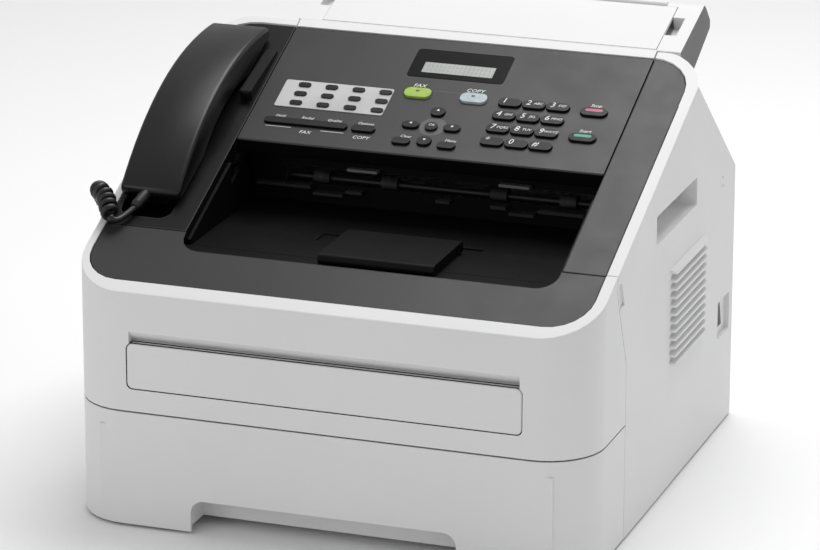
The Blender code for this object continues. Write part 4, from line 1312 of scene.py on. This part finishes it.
@dataclass
class ControlPanel:
    """Key panel with its label, printed marks, display and keys."""

    surface: float = -0.0008
    key_top: float = 0.0010
    label_x: Span = (-0.1064, -0.0260)
    label_s: Span = (0.0122 / math.cos(TILT), 0.0398 / math.cos(TILT))
    letters: tuple[str, ...] = ("", "", "ABC", "DEF", "GHI", "JKL", "MNO", "PQRS", "TUV", "WXYZ")
    words: tuple[tuple[str, float, float, float], ...] = (
        ("FAX", -0.0100, 0.0462, 0.0050),
        ("COPY", 0.0308, 0.0460, 0.0050),
        ("Stop", 0.1195, 0.0425, 0.0044),
        ("Start", 0.1195, 0.0165, 0.0044),
        ("Hold", -0.0975, 0.0032, 0.0036),
        ("Redial", -0.0775, 0.0032, 0.0036),
        ("Quality", -0.0575, 0.0032, 0.0036),
        ("Options", -0.0345, 0.0032, 0.0036),
        ("Clear", -0.0025, -0.0053, 0.0036),
        ("Menu", 0.0300, -0.0055, 0.0036),
        ("FAX", -0.0745, -0.0110, 0.0046),
        ("COPY", -0.0335, -0.0110, 0.0046),
    )

    def build(self) -> None:
        """Make the panel, its print, display and keys."""
        self.panel()
        self.print_marks()
        self.display()
        self.keys()

    @staticmethod
    def spot(x: float, y: float, height: float) -> Matrix:
        """Axes on the deck at x and y, a height over it."""
        return DECK @ Matrix.Translation((x, y / math.cos(TILT), height))

    def panel(self) -> None:
        """The panel itself with its silver one-touch label."""

        def on_label(at: Vector, low: float, high: float) -> bool:
            """Whether a point lies over the label between two heights."""
            own = TO_DECK @ at
            across = self.label_x[0] < own.x < self.label_x[1]
            return across and self.label_s[0] < own.y < self.label_s[1] and low < own.z < high

        marks = (
            # Painted shade: deep faces and faces that look down take near black.
            (3, lambda at, normal: (TO_DECK @ at).z < -0.0022 or normal.z < 0.15),
            (1, lambda at, normal: on_label(at, -0.0010, -0.00015)),
            (2, lambda at, normal: on_label(at, -0.00015, 0.0020)),
        )
        names = ("charcoal_panel", "silver_label", "key_black", "recess_shade_black")
        shell("control_panel", 0.0003, *names, marks=marks)

    def mark(self, low: Span, high: Span, ink: Ink) -> bpy.types.Object:
        """A flat printed bar between two corners on the deck."""
        base = self.surface - 0.00002
        scale = 1 / math.cos(TILT)
        bar = Bench.block(
            "mark",
            (low[0], low[1] * scale, base),
            (high[0], high[1] * scale, base + 0.00006),
            DECK,
        )
        dress(bar, "white_ink", "grey_ink")
        paint(bar, ink.value, lambda at, normal: True)
        return bar

    def print_marks(self) -> None:
        """Generic function words, rules and the disc behind the arrow keys."""
        made = []
        for words, x, y, size in self.words:
            letters = Bench.lettering(words, size, self.spot(x, y, self.surface))
            dress(letters, "white_ink", "grey_ink")
            made.append(letters)
        made.append(self.mark((0.0020, 0.0421), (0.0225, 0.0425), Ink.GREY))
        made.append(self.mark((-0.1050, -0.0078), (-0.0860, -0.0074), Ink.WHITE))
        made.append(self.mark((-0.0640, -0.0084), (-0.0470, -0.0080), Ink.WHITE))
        disc = Bench.drum(
            "mark", (0.0131, 0.0066 / math.cos(TILT), self.surface), 0.0096, 0.00006, sides=48, place=DECK
        )
        dress(disc, "white_ink", "grey_ink")
        paint(disc, 1, lambda at, normal: True)
        made.append(disc)
        marks = Bench.join("panel_print", made)
        attach(marks, "control_panel")

    def display(self) -> None:
        """The dark window and the pale display in it."""
        shell("lcd_window", 0.0003)
        scale = 1 / math.cos(TILT)
        pane = Bench.block(
            "lcd_field", (-0.0140, 0.0600 * scale, -0.0006), (0.0380, 0.0705 * scale, -0.00045), DECK
        )
        Bench.select(pane, Element.FACES, lambda at, normal: (TO_DECK.to_3x3() @ normal).z > 0.9)
        bpy.ops.mesh.inset(thickness=0.0005, depth=0.0)
        Bench.smooth(pane)
        dress(pane, "lcd_field")
        attach(pane, "lcd_window")

    def keys(self) -> None:
        """Every key cap with its print."""
        for node in (n for n in SLOT_OF if n.startswith("key_")):
            cap = Bench.copy_node(node, node + "_cap")
            Bench.soften(cap, 0.0006, 3)
            dress(cap, SLOT_OF[node], "white_ink", "stop_bar", "start_bar", "dark_ink")
            low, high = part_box(node)
            middle = TO_DECK @ ((low + high) / 2)
            top = DECK @ Matrix.Translation((middle.x, middle.y + 0.0011, self.key_top))
            parts = [cap, *self.legend(node, top)]
            cap = Bench.join(node + "_cap", parts)
            stand_for(cap, node)

    def legend(self, node: str, top: Matrix) -> list[bpy.types.Object]:
        """The printed mark on one key.

        Args:
            node: The key's node.
            top: Axes on the middle of its top.

        Returns:
            The mark's meshes.
        """
        slots = (SLOT_OF[node], "white_ink", "stop_bar", "start_bar", "dark_ink")
        made: list[tuple[bpy.types.Object, int]] = []
        face = node.removeprefix("key_")
        if face.isdigit() or face in ("star", "hash"):
            digit = {"star": "*", "hash": "#"}.get(face, face)
            letters = self.letters[int(face)] if face.isdigit() else ""
            shift = Matrix.Translation((-0.0040, 0.0, 0.0))
            made.append((Bench.lettering(digit, 0.0072, top @ shift), 1))
            if letters:
                shift = Matrix.Translation((0.0030, -0.0002, 0.0))
                made.append((Bench.lettering(letters, 0.0034, top @ shift), 1))
        elif node in ("key_stop", "key_start"):
            bar = Bench.block("bar", (-0.0062, -0.0014, -0.0001), (0.0062, 0.0014, 0.00012), top)
            axis = (top.to_3x3() @ Vector((0, 0, 1))).normalized()
            Bench.round_edges(bar, lambda at, along: abs(along.dot(axis)) > 0.9, 0.0012, 4)
            Bench.smooth(bar)
            made.append((bar, 2 if node == "key_stop" else 3))
        elif node == "key_ok":
            made.append((Bench.lettering("OK", 0.0032, top), 1))
        elif node in ("key_up", "key_down", "key_left", "key_right"):
            spin = {"key_up": 0, "key_left": 90, "key_down": 180, "key_right": -90}[node]
            bpy.ops.object.select_all(action="DESELECT")
            bpy.ops.mesh.primitive_cylinder_add(vertices=3, radius=0.0013, depth=0.00006)
            turned = top @ Matrix.Rotation(math.radians(spin), 4, "Z")
            made.append((Bench.named("arrow", turned), 1))
        elif node in ("key_fax", "key_copy"):
            for k in range(2):
                shift = top @ Matrix.Translation((0.0010 * k - 0.0005, -0.0006 * k + 0.0003, 0.0))
                page = Bench.block("page", (-0.0013, -0.0009, 0), (0.0013, 0.0009, 0.00006), shift)
                made.append((page, 4 if k == 0 else 0))
        for obj, index in made:
            dress(obj, *slots)
            paint(obj, index, lambda at, normal: True)
        return [obj for obj, _ in made]


# ------------------------------------------------------------------ output side
@dataclass
class OutputSide:
    """Tray, its flap, and the roller that pushes pages out."""

    def build(self) -> None:
        """Make the tray parts."""
        # Painted shade: the tray, the exit frame and the flap take a black darker than their plastic, for
        # the shade in the cavity.
        shell("output_tray", 0.0003, "recess_shade_black")
        lips = (2, lambda at, normal: at.y < 0.0018 and abs(at.x - 0.0125) < 0.11)
        tab_box = (Vector((-0.06, -0.01, 0.2105)), Vector((0.10, 0.0018, 1.0)))
        in_tabs = near(tab_box, (0.0, 0.0, 0.0))
        tabs = (1, lambda at, normal: in_tabs(at))
        names = ("recess_shade_black", "tab_grey", "charcoal_panel")
        shell("exit_frame", 0.0003, *names, marks=(lips, tabs))
        shell("tray_flap", 0.0004, "recess_shade_black", segments=3)
        self.roller("exit_roller", 0.0045, "black_plastic")

    @staticmethod
    def roller(node: str, limit: float, shaft: str = "steel_sheet") -> None:
        """A steel shaft with rubber tyres in one piece.

        Args:
            node: The roller's node.
            limit: Distance from the axis past which it is rubber.
            shaft: The shaft's finish.
        """
        low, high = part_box(node)
        axis = (low + high) / 2

        def steel(at: Vector, normal: Vector) -> bool:
            """Whether a face belongs to the shaft."""
            return math.hypot(at.y - axis.y, at.z - axis.z) < limit

        shell(node, 0.0004, "roller_rubber", shaft, marks=[(1, steel)])


# ------------------------------------------------------------------ document feeder
@dataclass
class DocumentFeeder:
    """Housing at the back with its flap, guides, scanner bar and roller."""

    def build(self) -> None:
        """Make the feeder parts."""
        low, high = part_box("adf_housing")

        def end_face(at: Vector, normal: Vector) -> bool:
            """Whether a face is one of the housing's ends."""
            return abs(normal.x) > 0.9 and not low.x + 0.001 < at.x < high.x - 0.001

        # Painted shade: the housing's end faces take a darker grey than its white.
        shell("adf_housing", 0.0006, "white_shell", "end_shade_grey", marks=[(1, end_face)])
        shell("document_flap", 0.0004)
        shell("document_guide_left", 0.0003)
        shell("document_guide_right", 0.0003)
        shell("document_scanner", 0.0004)
        self.scan_glass()
        OutputSide.roller("feed_roller", 0.0040)

    @staticmethod
    def scan_glass() -> None:
        """The glass over the scanner's window."""
        pane = Bench.block(
            "scan_glass", (-0.0898, 0.0462, -0.01715), (0.1288, 0.0618, -0.01620), DECK
        )
        Bench.soften(pane, 0.0002)
        dress(pane, "scanner_glass")
        attach(pane, "document_scanner")


# ------------------------------------------------------------------ handset
@dataclass
class Handset:
    """The receiver, its hook switch and its sound holes."""

    cups: tuple[Span, ...] = ((-0.0940, -0.0540), (0.0400, 0.0800))
    centre_x: float = -0.1560

    def build(self) -> None:
        """Make the receiver and its details."""
        body = Bench.copy_node("handset", "handset_skin")
        Bench.smooth(body, 50.0)
        dress(body, "handset_black")
        stand_for(body, "handset")
        for k, (low, high) in enumerate(self.cups):
            self.sound_holes("sound_holes_%d" % (k + 1), (low + high) / 2)
        shell("hook_switch", 0.0005)

    def sound_holes(self, name: str, along: float) -> None:
        """A perforated round grille under one end.

        Args:
            name: The piece's name.
            along: Its middle along the slope.
        """
        place = DECK @ Matrix.Translation((self.centre_x, along, -0.0087))
        plate = Bench.drum("plate", (0, 0, 0), 0.0110, 0.0008, sides=40, place=place)

        def under(at: Vector, normal: Vector) -> bool:
            """Whether a face looks down at the cradle."""
            return (TO_DECK.to_3x3() @ normal).z < -0.9

        Bench.sink(plate, under, 0.0010, 0.0002)
        made = [Bench.smooth(plate)]
        rim = Bench.drum("hole", (0, 0, -0.00035), 0.0011, 0.0004, sides=14, place=place)
        Bench.sink(rim, under, 0.0002, 0.0002)
        for ring, count in ((0.0035, 6), (0.0070, 12)):
            for k in range(count):
                angle = 2 * math.pi * k / count
                shift = Matrix.Translation((ring * math.cos(angle), ring * math.sin(angle), 0.0))
                made.append(Bench.duplicate(rim, "hole", DECK @ shift @ TO_DECK))
        made.append(rim)
        grille = Bench.join(name, made)
        dress(grille, "black_plastic")
        attach(grille, "handset")


# ------------------------------------------------------------------ print engine
@dataclass
class PrintEngine:
    """What works inside: frame, laser, toner, fuser, board, paper path."""

    plain: Sizes = (
        ("base_pan", 0.0004),
        ("laser_unit", 0.0003),
        ("toner_cartridge", 0.0006),
        ("fuser_unit", 0.0005),
        ("lift_plate", 0.0002),
        ("paper_cassette", 0.0006),
        ("jack_block", 0.0003),
    )

    def build(self) -> None:
        """Make the inner parts and the sockets."""
        for node, width in self.plain:
            shell(node, width)
        self.board()
        self.contacts()

    @staticmethod
    def board() -> None:
        """The main board with dark parts on green."""
        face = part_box("main_board")[0].x + 0.0016
        chips = (1, lambda at, normal: at.x > face)
        shell("main_board", 0.0002, "circuit_board", "black_plastic", marks=[chips])

    @staticmethod
    def contacts() -> None:
        """Sprung gold wires in the two empty line sockets."""
        made = []
        wire = Bench.block("wire", (-0.1796, 0.0820, 0.0535), (-0.1742, 0.0825, 0.0540))
        Bench.nudge(wire, lambda at, normal: at.x < -0.1790, (0.0, 0.0, 0.0045))
        for port in (0.0, 0.0180):
            for k in range(4):
                shift = Matrix.Translation((0.0, port + 0.0017 * k, 0.0))
                made.append(Bench.duplicate(wire, "wire", shift))
        made.append(wire)
        wires = Bench.join("socket_contacts", made)
        Bench.soften(wires, 0.0001, 1)
        dress(wires, "plated_pin")
        attach(wires, "jack_block")


def main() -> None:
    """Build every sub-assembly in order and report each one."""
    logging.basicConfig(level=logging.INFO, format="%(name)s: %(message)s")
    for maker in (
        Studio(),
        HandsetCord(),
        Casing(),
        ControlPanel(),
        OutputSide(),
        DocumentFeeder(),
        Handset(),
        PrintEngine(),
    ):
        before = len(bpy.data.objects)
        maker.build()
        LOG.info("%s: %d objects", type(maker).__name__, len(bpy.data.objects) - before)


if __name__ == "__main__":
    main()
